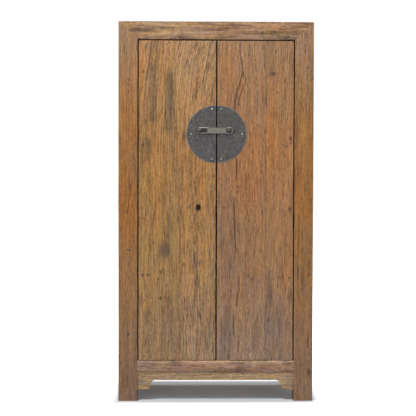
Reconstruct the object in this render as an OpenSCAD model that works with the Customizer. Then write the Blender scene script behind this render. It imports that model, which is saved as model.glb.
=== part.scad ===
// Square-corner cabinet of reclaimed elm: four posts, a mitred top frame, two
// plank doors on pivot pins, and a round iron lock plate with a latch bar.
// Millimetres, +Z up, front towards -Y, floor at z = 0.

/* [Overall] */
// Width across the posts
cab_w = 950; // [800:10:1100]
// Depth from the front of the posts to their back
cab_d = 480; // [400:10:600]
// Height from the floor to the top frame
cab_h = 1850; // [1650:10:2000]

/* [Frame] */
// Width of each post, seen from the front
post_w = 93; // [80:1:105]
// Depth of each post, seen from the side
post_d = 75; // [65:1:90]
// Height of the four mitred top rails
top_rail_h = 87; // [75:1:100]
// Clear height under the bottom rails
leg_h = 143; // [110:1:180]
// Height of the bottom rails
low_rail_h = 55; // [45:1:75]
// Thickness of the front and back bottom rails
low_rail_t = 62; // [58:1:65]
// Thickness of the side rails and of the middle rails
side_rail_t = 45; // [42:1:48]
// Height of the middle rails
mid_rail_h = 60; // [45:1:80]
// Height of the middle rails' centre line above the floor
mid_rail_z = 960; // [900:5:1020]

/* [Joinery] */
// Thickness of every tenon and corner peg
tenon_t = 16; // [12:1:18]
// Length of the tenons that run across the cabinet
tenon_len = 40; // [25:1:44]
// Length of the tenons that run front to back
side_tenon_len = 34; // [20:1:36]
// Shoulder above and below each tenon
tenon_shoulder = 7; // [4:1:12]
// Play between a tenon and its mortise, each side
joint_play = 0.2; // [0.1:0.05:0.5]
// Height of the pegs that stand in the mitred corners
peg_rise = 38; // [25:1:44]

/* [Panels] */
// Thickness of the side, back and top panels
panel_t = 14; // [10:1:16]
// How far the panels sit behind the outer faces of the frame
panel_set = 20; // [16:1:24]
// Depth of the grooves that hold the panels
groove_d = 10; // [6:1:14]
// Room for a panel to swell at its edges
panel_room = 2; // [1:0.5:3]
// How far the top boards sit below the top of the frame
top_set = 6; // [3:1:10]
// Width and height of the batten under the top boards
top_batten = 30; // [24:1:34]
// How far the top batten enters the rails
top_batten_in = 20; // [12:1:24]

/* [Apron] */
// Thickness of the apron boards
apron_t = 13; // [10:1:15]
// How far the apron sits behind the posts' faces
apron_set = 7; // [4:1:8]
// Height of the apron between its ends
apron_h = 42; // [30:1:60]
// How far the shaped ends hang below the apron
spandrel_drop = 46; // [30:1:48]
// Width of a shaped end at its bottom
spandrel_w = 56; // [40:1:62]
// How much a shaped end widens below its round
spandrel_flare = 8; // [0:1:12]
// Radius of the round between the shaped end and the apron
spandrel_r = 22; // [12:1:28]
// How far the apron enters the posts
apron_in = 8; // [5:1:12]

/* [Inside] */
// Thickness of the bottom boards and shelves
board_t = 16; // [12:1:22]
// Top of the lower shelf above the floor
shelf_1_z = 600; // [560:5:640]
// Top of the middle shelf above the floor
shelf_2_z = 1000; // [960:5:1040]
// Top of the upper shelf above the floor
shelf_3_z = 1390; // [1350:5:1430]
// Thickness of the shelf bearers
bearer_t = 20; // [15:1:26]
// Height of the shelf bearers
bearer_h = 32; // [20:1:45]
// Play around the bottom boards and shelves
board_play = 1; // [0.5:0.1:1.2]
// Depth of the two door stops
stop_d = 18; // [14:1:22]
// Height of the two door stops
stop_h = 14; // [11:1:20]
// Gap between the shelves and the battens of the shut doors
shelf_clear = 5; // [3:0.5:10]
// Gap between a shut door and its stops
stop_gap = 0.8; // [0.5:0.1:1.5]

/* [Doors] */
// Thickness of the door boards
door_t = 28; // [24:1:32]
// Gap between a door and its post
side_gap = 5; // [4.5:0.1:6]
// Gap between the two doors
meet_gap = 6; // [4:0.5:8]
// Gap above the doors
over_gap = 6; // [5:0.5:8]
// Gap below the doors
under_gap = 3; // [2:0.5:4]
// How far the doors' meeting line lies right of the middle
meet_x = 2; // [-6:1:6]
// Left door: board joint to outer edge, at the top
left_joint_top = 173; // [150:1:190]
// Left door: board joint to outer edge, at the bottom
left_joint_low = 223; // [190:1:235]
// Right door: board joint to outer edge, at the top
right_joint_top = 129; // [100:1:160]
// Right door: board joint to outer edge, at the bottom
right_joint_low = 137; // [110:1:170]
// Width of the battens behind the doors
batten_w = 50; // [44:1:60]
// Thickness of the battens behind the doors
batten_t = 20; // [14:1:24]
// Depth of the battens' dovetail in the door boards
dovetail_d = 8; // [5:1:10]
// Width of the dovetail at its neck
dovetail_neck = 36; // [30:1:40]
// How much wider the dovetail is at its bottom, each side
dovetail_flare = 3; // [1:0.5:4]
// Centre of the end battens to the end of the door
batten_end = 220; // [160:5:260]
// Batten to the outer edge of the door
batten_hinge_in = 30; // [24:1:50]
// Batten to the meeting edge of the door
batten_meet_in = 8; // [4:1:20]

/* [Pivots] */
// Diameter of the iron pivot pins
pin_d = 12; // [8:0.5:14]
// Pivot axis to the outer edge of the door
pivot_in = 16; // [14:1:20]
// Pivot axis behind the door's front face
pivot_back = 11; // [9:0.5:12]
// How far a pin is driven into the door
pin_in_door = 40; // [25:1:60]
// How far the upper pin enters the top rail
pin_up = 12; // [8:1:18]
// How far the lower pin enters the bottom rail
pin_down = 5.5; // [4:0.5:6]
// Play between a pin and its socket, each side
pin_play = 0.1; // [0.05:0.05:0.3]
// Gap under the lower pin
pin_seat_gap = 0.3; // [0.1:0.1:0.5]

/* [Lock] */
// Height of the lock plate's centre
lock_z = 1304; // [1240:1:1360]
// Radius of each half of the lock plate
plate_r = 140; // [136:1:150]
// Centre of each half plate to the doors' meeting line
plate_apart = 6.5; // [0:0.5:10]
// Thickness of the lock plate
plate_t = 1.8; // [1.2:0.1:3]
// Circle on which the nails stand
nail_circle_r = 124; // [118:1:128]
// Upper and lower nails to the meeting line
nail_side = 23; // [14:1:30]
// Diameter of a nail's domed head
nail_head_d = 11; // [8:0.5:12]
// Height of a nail's domed head
nail_head_h = 3.5; // [2:0.5:4.5]
// Diameter of a nail's shank
nail_d = 3; // [2:0.2:3.6]
// How far a nail enters the door
nail_in = 16; // [10:1:20]
// Play around a nail's shank and a staple's legs
iron_play = 0.1; // [0.05:0.05:0.2]

/* [Latch] */
// Latch bar's centre line above the lock plate's centre
latch_up = 17; // [8:1:26]
// Thickness of the latch bar
bar_t = 7; // [5:0.5:8]
// Height of the bar between its eyes
bar_h = 28; // [20:1:32]
// Gap between the bar and the lock plate
bar_gap = 1; // [0.6:0.1:2]
// Height of an eye
eye_h = 34; // [31:1:36]
// Thickness of the iron round an eye
eye_rim = 7; // [6:0.5:8]
// Latch pivot to the doors' meeting line
latch_pivot_out = 88; // [84:1:92]
// Length of the left eye's opening
left_eye_w = 40; // [34:1:44]
// Radius of the corners of the eyes' openings
eye_corner = 1.5; // [1:0.5:3]
// Right eye's opening to the meeting line
right_eye_in = 48; // [44:1:52]
// Length of the right eye's opening
right_eye_w = 25; // [23:1:28]
// Height of the iron strip of the staples
strip_h = 9; // [6:1:11]
// Thickness of the iron strip of the staples
strip_t = 3; // [2:0.5:3.5]
// Width inside the left staple
left_staple_w = 22; // [18:1:24]
// Width inside the right staple
right_staple_w = 9; // [7:1:10]
// Room in front of the bar for a padlock's shackle
shackle_room = 9; // [6:1:12]
// Gap between the left eye and the staple that it hangs on
hang_gap = 0.3; // [0.1:0.1:0.5]
// Play between the top of the right eye and its staple
right_hang_gap = 2.5; // [2:0.25:3]
// Side gap between the left eye's rim and its staple
left_rim_gap = 3.5; // [3:0.25:4]
// Side gap between the right eye's rim and its staple
right_rim_gap = 3; // [2.5:0.25:4]
// Length of a staple's bent end behind the door
clinch_len = 12; // [8:1:18]

/* [Hidden] */
$fn = 64;
eps = 1;

// The staples stand proud of the posts, and the origin is under the middle of the whole.
staple_reach = bar_gap + bar_t + shackle_room + strip_t;
proud = plate_t + staple_reach;
front_y = -(cab_d - proud) / 2;
back_y = front_y + cab_d;
plate_y = front_y - plate_t;

// The doorway and the space between the posts
open_x = cab_w / 2 - post_w;
low_top = leg_h + low_rail_h;
high_low = cab_h - top_rail_h;
span_y = [front_y + post_d, back_y - post_d];
mid_low = mid_rail_z - mid_rail_h / 2;
mid_high = mid_rail_z + mid_rail_h / 2;
side_wall_x = cab_w / 2 - panel_set - panel_t;
back_wall_y = back_y - panel_set - panel_t;

// The doors: outer edge, meeting edge, lower and upper end, pivot axis
door_out = open_x - side_gap;
door_meet = [meet_x - meet_gap / 2, meet_x + meet_gap / 2];
door_z = [low_top + under_gap, high_low - over_gap];
door_back_y = front_y + door_t;
pivot_x = door_out - pivot_in;
pivot_y = front_y + pivot_back;
batten_z = [door_z[0] + batten_end, (door_z[0] + door_z[1]) / 2, door_z[1] - batten_end];

// The stops end short of the corner that each door's edge sweeps as it turns.
stop_x = open_x - side_gap - pivot_in - door_t;
stop_y = [door_back_y + stop_gap, door_back_y + stop_gap + stop_d];
shelf_y = [door_back_y + batten_t + shelf_clear, back_y - side_rail_t - board_play];
shelf_x = cab_w / 2 - side_rail_t - board_play;

// The latch hangs on the left staple by the top of its eye.
latch_z = lock_z + latch_up;
latch_x = meet_x - latch_pivot_out;
bar_y = plate_y - bar_gap - bar_t;
eye_open_h = eye_h - 2 * eye_rim;
eye_open_top = latch_z + eye_open_h / 2;
left_staple_x = latch_x - bar_t / 2 - left_rim_gap + left_staple_w / 2;
right_staple_x = meet_x + right_eye_in + right_rim_gap + strip_t + right_staple_w / 2;
nail_drop = sqrt(nail_circle_r * nail_circle_r - nail_side * nail_side);

// A box between two limits along each axis
module block(x, y, z) {
    translate([x[0], y[0], z[0]]) cube([x[1] - x[0], y[1] - y[0], z[1] - z[0]]);
}

// An outline in X and Z, carried back along Y
module across(y) {
    translate([0, y[1], 0]) rotate([90, 0, 0]) linear_extrude(y[1] - y[0]) children();
}

// An outline in Y and Z, carried along X
module along(x) {
    translate([x[0], 0, 0]) rotate([90, 0, 90]) linear_extrude(x[1] - x[0]) children();
}

// Corner coordinates: x and y run inwards from the outer faces of one post.
module corner(side, end) {
    translate([side * cab_w / 2, end < 0 ? front_y : back_y, 0])
        mirror([side > 0 ? 1 : 0, 0, 0]) mirror([0, end > 0 ? 1 : 0, 0]) children();
}

// Face coordinates: y runs inwards from the front or the back of the cabinet.
module face(end) {
    translate([0, end < 0 ? front_y : back_y, 0]) mirror([0, end > 0 ? 1 : 0, 0]) children();
}

// Joinery, in corner coordinates; grow is the play of the hole that takes each piece

module cross_tenon(z, t, grow) {
    block([post_w - tenon_len - grow, post_w + eps],
          [(t - tenon_t) / 2 - grow, (t + tenon_t) / 2 + grow],
          [z[0] + tenon_shoulder - grow, z[1] - tenon_shoulder + grow]);
}

module side_tenon(z, grow) {
    block([(side_rail_t - tenon_t) / 2 - grow, (side_rail_t + tenon_t) / 2 + grow],
          [post_d - side_tenon_len - grow, post_d + eps],
          [z[0] + tenon_shoulder - grow, z[1] - tenon_shoulder + grow]);
}

// Two pegs stand on the post's mitred head, one in each rail that it meets.
module peg(share_x, share_y, grow) {
    at = [post_w * share_x, post_d * share_y];
    foot = high_low + top_rail_h * (1 - max(share_x, share_y)) - tenon_t;
    block([at[0] - tenon_t / 2 - grow, at[0] + tenon_t / 2 + grow],
          [at[1] - tenon_t / 2 - grow, at[1] + tenon_t / 2 + grow],
          [foot, foot + tenon_t + peg_rise + grow]);
}

module pegs(grow) {
    peg(0.72, 0.3, grow);
    peg(0.3, 0.72, grow);
}

// The mitres: each piece of a corner keeps the wedge on its own side.
function wedge_up() = [[0, 0], [1, 0], [1, high_low], [0, cab_h]];

module post_blank() {
    intersection() {
        across([0, post_d]) polygon([for (p = wedge_up()) [p[0] * post_w, p[1]]]);
        along([0, post_w]) polygon([for (p = wedge_up()) [p[0] * post_d, p[1]]]);
    }
}

module rail_blank_front(end) {
    face(end) intersection() {
        across([0, post_d])
            polygon([[-cab_w / 2, cab_h], [-open_x, high_low], [open_x, high_low], [cab_w / 2, cab_h]]);
        translate([0, 0, high_low]) linear_extrude(top_rail_h)
            polygon([[-cab_w / 2, 0], [-open_x, post_d], [open_x, post_d], [cab_w / 2, 0]]);
    }
}

module rail_blank_side() {
    intersection() {
        along([-cab_w / 2, -open_x])
            polygon([[front_y, cab_h], [span_y[0], high_low], [span_y[1], high_low], [back_y, cab_h]]);
        translate([0, 0, high_low]) linear_extrude(top_rail_h)
            polygon([[-cab_w / 2, front_y], [-open_x, span_y[0]], [-open_x, span_y[1]], [-cab_w / 2, back_y]]);
    }
}

// Panels; with grow they are the grooves that hold them, with room at the edges

module side_panel_blank(z, grow) {
    room = grow > 0 ? panel_room : 0;
    block([-cab_w / 2 + panel_set - grow, -side_wall_x + grow],
          [span_y[0] - groove_d + panel_room - room, span_y[1] + groove_d - panel_room + room],
          [z[0] - groove_d, z[1] + groove_d - panel_room + room]);
}

module side_panel_set(grow) {
    side_panel_blank([low_top, mid_low], grow);
    side_panel_blank([mid_high, high_low], grow);
}

module back_board_blank(z, x, grow) {
    block([x[0] - grow, x[1]], [back_wall_y - grow, back_y - panel_set + grow],
          [z[0] - groove_d, z[1] + groove_d - panel_room + (grow > 0 ? panel_room : 0)]);
}

module back_board_set(grow) {
    room = grow > 0 ? 0 : panel_room;
    for (z = [[low_top, mid_low], [mid_high, high_low]])
        back_board_blank(z, [-open_x - groove_d + room, open_x + groove_d - room], grow);
}

module top_board_set(grow) {
    room = grow > 0 ? 0 : panel_room;
    block([-open_x - groove_d + room, open_x + groove_d - room],
          [span_y[0] - groove_d + room, span_y[1] + groove_d - room],
          [cab_h - top_set - panel_t - grow, cab_h - top_set + grow]);
}

module top_batten_blank(grow) {
    block([-top_batten / 2 - grow, top_batten / 2 + grow],
          [span_y[0] - top_batten_in - grow, span_y[1] + top_batten_in + grow],
          [cab_h - top_set - panel_t - top_batten - grow, cab_h - top_set - panel_t + grow]);
}

// Posts

module post(side, end) {
    color("#9c6a3c") difference() {
        corner(side, end) difference() {
            union() {
                post_blank();
                pegs(0);
            }
            cross_tenon([leg_h, low_top], low_rail_t, joint_play);
            side_tenon([leg_h, low_top], joint_play);
            side_tenon([mid_low, mid_high], joint_play);
            side_apron_end(joint_play);
            if (end < 0) front_apron_end(joint_play);
            if (end > 0) cross_tenon([mid_low, mid_high], side_rail_t, joint_play);
        }
        mirror([side > 0 ? 1 : 0, 0, 0]) side_panel_set(joint_play);
        if (end > 0) back_board_set(joint_play);
    }
}

// Top frame

module top_rail_long(end) {
    color("#a9794a") difference() {
        rail_blank_front(end);
        for (side = [-1, 1]) corner(side, end) pegs(joint_play);
        top_board_set(joint_play);
        top_batten_blank(joint_play);
        if (end > 0) back_board_set(joint_play);
        if (end < 0) pivot_sockets_top();
    }
}

module top_rail_short(side) {
    color("#a2723f") mirror([side > 0 ? 1 : 0, 0, 0]) difference() {
        rail_blank_side();
        for (end = [-1, 1]) corner(-1, end) pegs(joint_play);
        top_board_set(joint_play);
        side_panel_set(joint_play);
    }
}

module top_board(end) {
    color("#b08050") intersection() {
        top_board_set(0);
        block([-cab_w, cab_w], end < 0 ? [-cab_d, (span_y[0] + span_y[1]) / 2]
                                       : [(span_y[0] + span_y[1]) / 2, cab_d], [0, cab_h]);
    }
}

module top_batten() {
    color("#96683c") top_batten_blank(0);
}

// Bottom and middle rails

module bottom_rail_long(end) {
    color("#8f6340") difference() {
        union() {
            face(end) block([-open_x, open_x], [0, low_rail_t], [leg_h, low_top]);
            for (side = [-1, 1]) corner(side, end) cross_tenon([leg_h, low_top], low_rail_t, 0);
        }
        if (end > 0) back_board_set(joint_play);
        if (end < 0) pivot_sockets_low();
    }
}

module side_rail(side, z) {
    color("#94663d") mirror([side > 0 ? 1 : 0, 0, 0]) difference() {
        union() {
            block([-cab_w / 2, -cab_w / 2 + side_rail_t], span_y, z);
            for (end = [-1, 1]) corner(-1, end) side_tenon(z, 0);
        }
        side_panel_set(joint_play);
    }
}

module middle_rail_back() {
    color("#94663d") difference() {
        union() {
            face(1) block([-open_x, open_x], [0, side_rail_t], [mid_low, mid_high]);
            for (side = [-1, 1]) corner(side, 1) cross_tenon([mid_low, mid_high], side_rail_t, 0);
        }
        back_board_set(joint_play);
    }
}

// Side and back panels

module side_panel(side, z) {
    color("#a87648") mirror([side > 0 ? 1 : 0, 0, 0]) side_panel_blank(z, 0);
}

module back_board(side, z) {
    color("#a07248") mirror([side > 0 ? 1 : 0, 0, 0])
        back_board_blank(z, [-open_x - groove_d + panel_room, 0], 0);
}

// Aprons with shaped ends

function round_points(x, z, r) = [for (a = [180 : -15 : 90]) [x + r * cos(a), z + r * sin(a)]];

function apron_half(half) = concat(
    [[-half - apron_in, leg_h], [-half - apron_in, leg_h - apron_h - spandrel_drop],
     [-half + spandrel_w, leg_h - apron_h - spandrel_drop]],
    round_points(-half + spandrel_w + spandrel_flare + spandrel_r,
                 leg_h - apron_h - spandrel_r, spandrel_r));

function mirrored(points) =
    [for (i = [len(points) - 1 : -1 : 0]) [-points[i][0], points[i][1]]];

module apron_outline(half) {
    polygon(concat(apron_half(half), mirrored(apron_half(half))));
}

module front_apron_end(grow) {
    block([post_w - apron_in - grow, post_w + eps], [apron_set - grow, apron_set + apron_t + grow],
          [leg_h - apron_h - spandrel_drop - grow, leg_h + grow]);
}

module side_apron_end(grow) {
    block([apron_set - grow, apron_set + apron_t + grow], [post_d - apron_in - grow, post_d + eps],
          [leg_h - apron_h - spandrel_drop - grow, leg_h + grow]);
}

module apron_front() {
    color("#9a7a45") across([front_y + apron_set, front_y + apron_set + apron_t])
        apron_outline(open_x);
}

module apron_side(side) {
    color("#96703f") mirror([side > 0 ? 1 : 0, 0, 0])
        translate([0, (span_y[0] + span_y[1]) / 2, 0])
            along([-cab_w / 2 + apron_set, -cab_w / 2 + apron_set + apron_t])
                apron_outline((span_y[1] - span_y[0]) / 2);
}

// Inside: bottom boards, stops and shelves

module post_notches() {
    for (side = [-1, 1], end = [-1, 1]) corner(side, end)
        block([-eps, post_w + board_play], [-eps, post_d + board_play], [0, cab_h]);
}

module bottom_board(end) {
    middle = (stop_y[1] + back_wall_y) / 2;
    color("#a88050") difference() {
        block([-side_wall_x + board_play, side_wall_x - board_play],
              end < 0 ? [stop_y[1], middle] : [middle, back_wall_y - board_play],
              [low_top, low_top + board_t]);
        post_notches();
    }
}

module door_stop(z) {
    color("#8a6038") block([-stop_x, stop_x], stop_y, z);
}

module shelf(top) {
    color("#b08a5a") difference() {
        block([-shelf_x, shelf_x], shelf_y, [top - board_t, top]);
        post_notches();
    }
}

module shelf_bearers(side) {
    color("#8f6840") mirror([side > 0 ? 1 : 0, 0, 0])
        for (top = [shelf_1_z, shelf_2_z, shelf_3_z])
            block([-open_x, -open_x + bearer_t], shelf_y,
                  [top - board_t - bearer_h, top - board_t]);
}

// Doors, drawn for the left; the right door is the mirrored one with its own sizes

function edge_x(side) = side < 0 ? -door_meet[0] : door_meet[1];
function joint_line(side) = side < 0 ? [left_joint_low, left_joint_top]
                                     : [right_joint_low, right_joint_top];

module at_door(side) {
    mirror([side > 0 ? 1 : 0, 0, 0]) children();
}

// The half of a door between its outer edge and the line where its boards meet
module outer_part(side) {
    line = joint_line(side);
    across([front_y, door_back_y]) polygon([
        [-door_out, door_z[0]], [-door_out + line[0], door_z[0]],
        [-door_out + line[1], door_z[1]], [-door_out, door_z[1]]]);
}

module inner_part(side) {
    line = joint_line(side);
    across([front_y, door_back_y]) polygon([
        [-door_out + line[0], door_z[0]], [-edge_x(side), door_z[0]],
        [-edge_x(side), door_z[1]], [-door_out + line[1], door_z[1]]]);
}

module batten_outline(z, grow) {
    neck = dovetail_neck / 2 + grow;
    foot = neck + dovetail_flare;
    bottom = door_back_y - dovetail_d - grow;
    translate([0, z]) polygon([
        [door_back_y + eps, -neck], [door_back_y, -neck], [bottom, -foot],
        [bottom, foot], [door_back_y, neck], [door_back_y + eps, neck]]);
}

module batten_slots(side) {
    for (z = batten_z)
        along([-door_out + batten_hinge_in - joint_play, -edge_x(side) + eps])
            batten_outline(z, joint_play);
}

module door_batten(side, z) {
    x = [-door_out + batten_hinge_in, -edge_x(side) - batten_meet_in];
    color("#8c6238") at_door(side) union() {
        along(x) batten_outline(z, 0);
        block(x, [door_back_y, door_back_y + batten_t], [z - batten_w / 2, z + batten_w / 2]);
    }
}

module pin(z, play) {
    translate([-pivot_x, pivot_y, z[0]]) cylinder(d = pin_d + 2 * play, h = z[1] - z[0]);
}

module pivot_pins(side) {
    color("#4a4644") at_door(side) {
        pin([low_top - pin_down, door_z[0] + pin_in_door], 0);
        pin([door_z[1] - pin_in_door, high_low + pin_up], 0);
    }
}

module pivot_holes() {
    pin([door_z[0] - eps, door_z[0] + pin_in_door], iron_play / 2);
    pin([door_z[1] - pin_in_door, door_z[1] + eps], iron_play / 2);
}

module pivot_sockets_low() {
    for (side = [-1, 1]) at_door(side)
        pin([low_top - pin_down - pin_seat_gap, low_top + eps], pin_play);
}

// The upper sockets are deep enough to lift the door off its lower pins.
module pivot_sockets_top() {
    for (side = [-1, 1]) at_door(side)
        pin([high_low - eps, high_low + pin_up + over_gap + pin_seat_gap], pin_play);
}

module door_outer_board(side) {
    color(side < 0 ? "#b98a4e" : "#a5703f") at_door(side) difference() {
        outer_part(side);
        batten_slots(side);
        pivot_holes();
    }
}

module door_inner_board(side) {
    color(side < 0 ? "#b88a58" : "#ad7743") difference() {
        at_door(side) difference() {
            inner_part(side);
            batten_slots(side);
        }
        nail_set(side, iron_play);
        staple_legs(side, iron_play);
    }
}

// Lock plates and nails

module lock_plate(side) {
    color("#64615f") difference() {
        intersection() {
            translate([meet_x + side * plate_apart, front_y, lock_z]) rotate([90, 0, 0])
                cylinder(r = plate_r, h = plate_t, $fn = 128);
            block(side < 0 ? [-cab_w, door_meet[0]] : [door_meet[1], cab_w],
                  [plate_y - eps, front_y + eps], [0, cab_h]);
        }
        nail_set(side, iron_play);
        staple_legs(side, iron_play);
    }
}

module nail_shank(grow) {
    translate([0, plate_y, 0]) rotate([-90, 0, 0])
        cylinder(d = nail_d + 2 * grow, h = plate_t + nail_in + grow);
}

module nail_places(side) {
    for (at = [[nail_side, nail_drop], [nail_circle_r, 0], [nail_side, -nail_drop]])
        translate([meet_x + side * at[0], 0, lock_z + at[1]]) children();
}

// Shanks alone, a little longer at the front so that they cut through the plate
module nail_set(side, grow) {
    nail_places(side) {
        nail_shank(grow);
        translate([0, plate_y - eps, 0]) rotate([-90, 0, 0])
            cylinder(d = nail_d + 2 * grow, h = 2 * eps);
    }
}

// A dome is the cap of a ball whose rim has the head's diameter.
module nail_dome() {
    r = nail_head_d / 2;
    ball = (r * r + nail_head_h * nail_head_h) / (2 * nail_head_h);
    intersection() {
        translate([0, plate_y - nail_head_h + ball, 0]) sphere(r = ball);
        block([-r, r], [plate_y - nail_head_h, plate_y], [-r, r]);
    }
}

module lock_nails(side) {
    color("#8a8682") nail_places(side) union() {
        nail_dome();
        nail_shank(0);
    }
}

// Staples: an iron strip bent to a U, its legs clinched behind the door

function staple_x(side) = side < 0 ? left_staple_x : right_staple_x;
function staple_w(side) = side < 0 ? left_staple_w : right_staple_w;
function staple_z(side) = eye_open_top - strip_h - (side < 0 ? hang_gap : right_hang_gap);

module u_shape(width, tip) {
    translate([0, tip + width / 2]) circle(d = width);
    translate([-width / 2, tip + width / 2]) square([width, door_back_y - tip]);
}

module staple(side) {
    inside = staple_w(side);
    outside = inside + 2 * strip_t;
    tip = plate_y - staple_reach;
    color("#55514f") translate([staple_x(side), 0, staple_z(side)]) linear_extrude(strip_h)
        difference() {
            union() {
                u_shape(outside, tip);
                translate([-outside / 2 - clinch_len, door_back_y])
                    square([outside + 2 * clinch_len, strip_t]);
            }
            u_shape(inside, tip + strip_t);
            translate([-outside, door_back_y + strip_t]) square([2 * outside, cab_d]);
        }
}

module staple_legs(side, grow) {
    for (way = [-1, 1])
        translate([staple_x(side) + way * (staple_w(side) + strip_t) / 2, 0, staple_z(side)])
            block([-strip_t / 2 - grow, strip_t / 2 + grow], [plate_y - eps, door_back_y + eps],
                  [-grow, strip_h + grow]);
}

// Latch bar: a flat bar with an eye at each end, turning on the left eye's round rim

bar_right = meet_x + right_eye_in + right_eye_w + eye_rim;
left_open = [latch_x + bar_t / 2, latch_x + bar_t / 2 + left_eye_w];
right_open = [meet_x + right_eye_in, meet_x + right_eye_in + right_eye_w];

module rounded(x, height, r) {
    for (cx = [x[0] + r, x[1] - r], cz = [r - height / 2, height / 2 - r])
        translate([cx, cz]) circle(r = r);
    translate([x[0] + r, -height / 2]) square([x[1] - x[0] - 2 * r, height]);
    translate([x[0], r - height / 2]) square([x[1] - x[0], height - 2 * r]);
}

module latch_outline() {
    difference() {
        union() {
            rounded([latch_x - bar_t / 2, left_open[1] + eye_rim], eye_h, eye_h / 3);
            rounded([right_open[0] - eye_rim, bar_right], eye_h, eye_h / 2.2);
            translate([left_open[1], -bar_h / 2]) square([right_open[0] - left_open[1], bar_h]);
        }
        rounded(left_open, eye_open_h, eye_corner);
        rounded(right_open, eye_open_h, eye_corner);
    }
}

module latch_bar() {
    color("#7b7876") translate([0, 0, latch_z]) intersection() {
        across([bar_y, bar_y + bar_t]) latch_outline();
        union() {
            block([latch_x, bar_right], [bar_y, bar_y + bar_t], [-eye_h / 2, eye_h / 2]);
            translate([latch_x, bar_y + bar_t / 2, -eye_h / 2]) cylinder(d = bar_t, h = eye_h);
        }
    }
}

post(-1, -1);  // post_front_left
post(1, -1);  // post_front_right
post(-1, 1);  // post_back_left
post(1, 1);  // post_back_right
top_rail_long(-1);  // top_rail_front
top_rail_long(1);  // top_rail_back
top_rail_short(-1);  // top_rail_left
top_rail_short(1);  // top_rail_right
top_board(-1);  // top_board_front
top_board(1);  // top_board_back
top_batten();
bottom_rail_long(-1);  // bottom_rail_front
bottom_rail_long(1);  // bottom_rail_back
side_rail(-1, [leg_h, low_top]);  // bottom_rail_left
side_rail(1, [leg_h, low_top]);  // bottom_rail_right
middle_rail_back();
side_rail(-1, [mid_low, mid_high]);  // middle_rail_left
side_rail(1, [mid_low, mid_high]);  // middle_rail_right
side_panel(-1, [mid_high, high_low]);  // side_panel_upper_left
side_panel(1, [mid_high, high_low]);  // side_panel_upper_right
side_panel(-1, [low_top, mid_low]);  // side_panel_lower_left
side_panel(1, [low_top, mid_low]);  // side_panel_lower_right
back_board(-1, [mid_high, high_low]);  // back_board_upper_left
back_board(1, [mid_high, high_low]);  // back_board_upper_right
back_board(-1, [low_top, mid_low]);  // back_board_lower_left
back_board(1, [low_top, mid_low]);  // back_board_lower_right
apron_front();
apron_side(-1);  // apron_left
apron_side(1);  // apron_right
bottom_board(-1);  // bottom_board_front
bottom_board(1);  // bottom_board_back
door_stop([high_low - stop_h, high_low]);  // door_stop_top
door_stop([low_top, low_top + stop_h]);  // door_stop_bottom
shelf(shelf_1_z);  // shelf_lower
shelf(shelf_2_z);  // shelf_middle
shelf(shelf_3_z);  // shelf_upper
shelf_bearers(-1);  // shelf_bearers_left
shelf_bearers(1);  // shelf_bearers_right
door_outer_board(-1);  // door_left_outer_board
door_inner_board(-1);  // door_left_inner_board
door_batten(-1, batten_z[2]);  // door_left_batten_upper
door_batten(-1, batten_z[1]);  // door_left_batten_middle
door_batten(-1, batten_z[0]);  // door_left_batten_lower
pivot_pins(-1);  // door_left_pivot_pins
door_outer_board(1);  // door_right_outer_board
door_inner_board(1);  // door_right_inner_board
door_batten(1, batten_z[2]);  // door_right_batten_upper
door_batten(1, batten_z[1]);  // door_right_batten_middle
door_batten(1, batten_z[0]);  // door_right_batten_lower
pivot_pins(1);  // door_right_pivot_pins
lock_plate(-1);  // lock_plate_left
lock_plate(1);  // lock_plate_right
lock_nails(-1);  // lock_nails_left
lock_nails(1);  // lock_nails_right
staple(-1);  // staple_left
staple(1);  // staple_right
latch_bar();
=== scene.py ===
import math

import bmesh
import bpy
from mathutils import Matrix, Vector, noise


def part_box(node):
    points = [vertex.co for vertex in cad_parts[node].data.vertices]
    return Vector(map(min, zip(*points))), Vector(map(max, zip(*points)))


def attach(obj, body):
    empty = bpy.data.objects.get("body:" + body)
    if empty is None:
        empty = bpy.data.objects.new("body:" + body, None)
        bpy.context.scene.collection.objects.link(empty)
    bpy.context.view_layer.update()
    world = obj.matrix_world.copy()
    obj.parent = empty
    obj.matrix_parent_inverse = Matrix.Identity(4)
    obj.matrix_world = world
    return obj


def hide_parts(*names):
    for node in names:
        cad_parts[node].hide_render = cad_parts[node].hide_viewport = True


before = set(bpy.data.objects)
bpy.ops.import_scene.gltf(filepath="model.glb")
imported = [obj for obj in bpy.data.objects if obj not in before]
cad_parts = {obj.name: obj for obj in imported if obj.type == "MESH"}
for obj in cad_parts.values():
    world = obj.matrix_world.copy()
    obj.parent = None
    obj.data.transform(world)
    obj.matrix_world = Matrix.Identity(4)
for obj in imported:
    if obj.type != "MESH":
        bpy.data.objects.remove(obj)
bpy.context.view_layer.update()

mm = 0.001


# One socket of a node tree, which takes part in sums

class Value:
    def __init__(self, tree, socket):
        self.tree = tree
        self.socket = socket

    def __add__(self, other):
        return self.tree.maths("ADD", self, other)

    def __radd__(self, other):
        return self.tree.maths("ADD", other, self)

    def __sub__(self, other):
        return self.tree.maths("SUBTRACT", self, other)

    def __rsub__(self, other):
        return self.tree.maths("SUBTRACT", other, self)

    def __mul__(self, other):
        return self.tree.maths("MULTIPLY", self, other)

    def __rmul__(self, other):
        return self.tree.maths("MULTIPLY", other, self)


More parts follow.
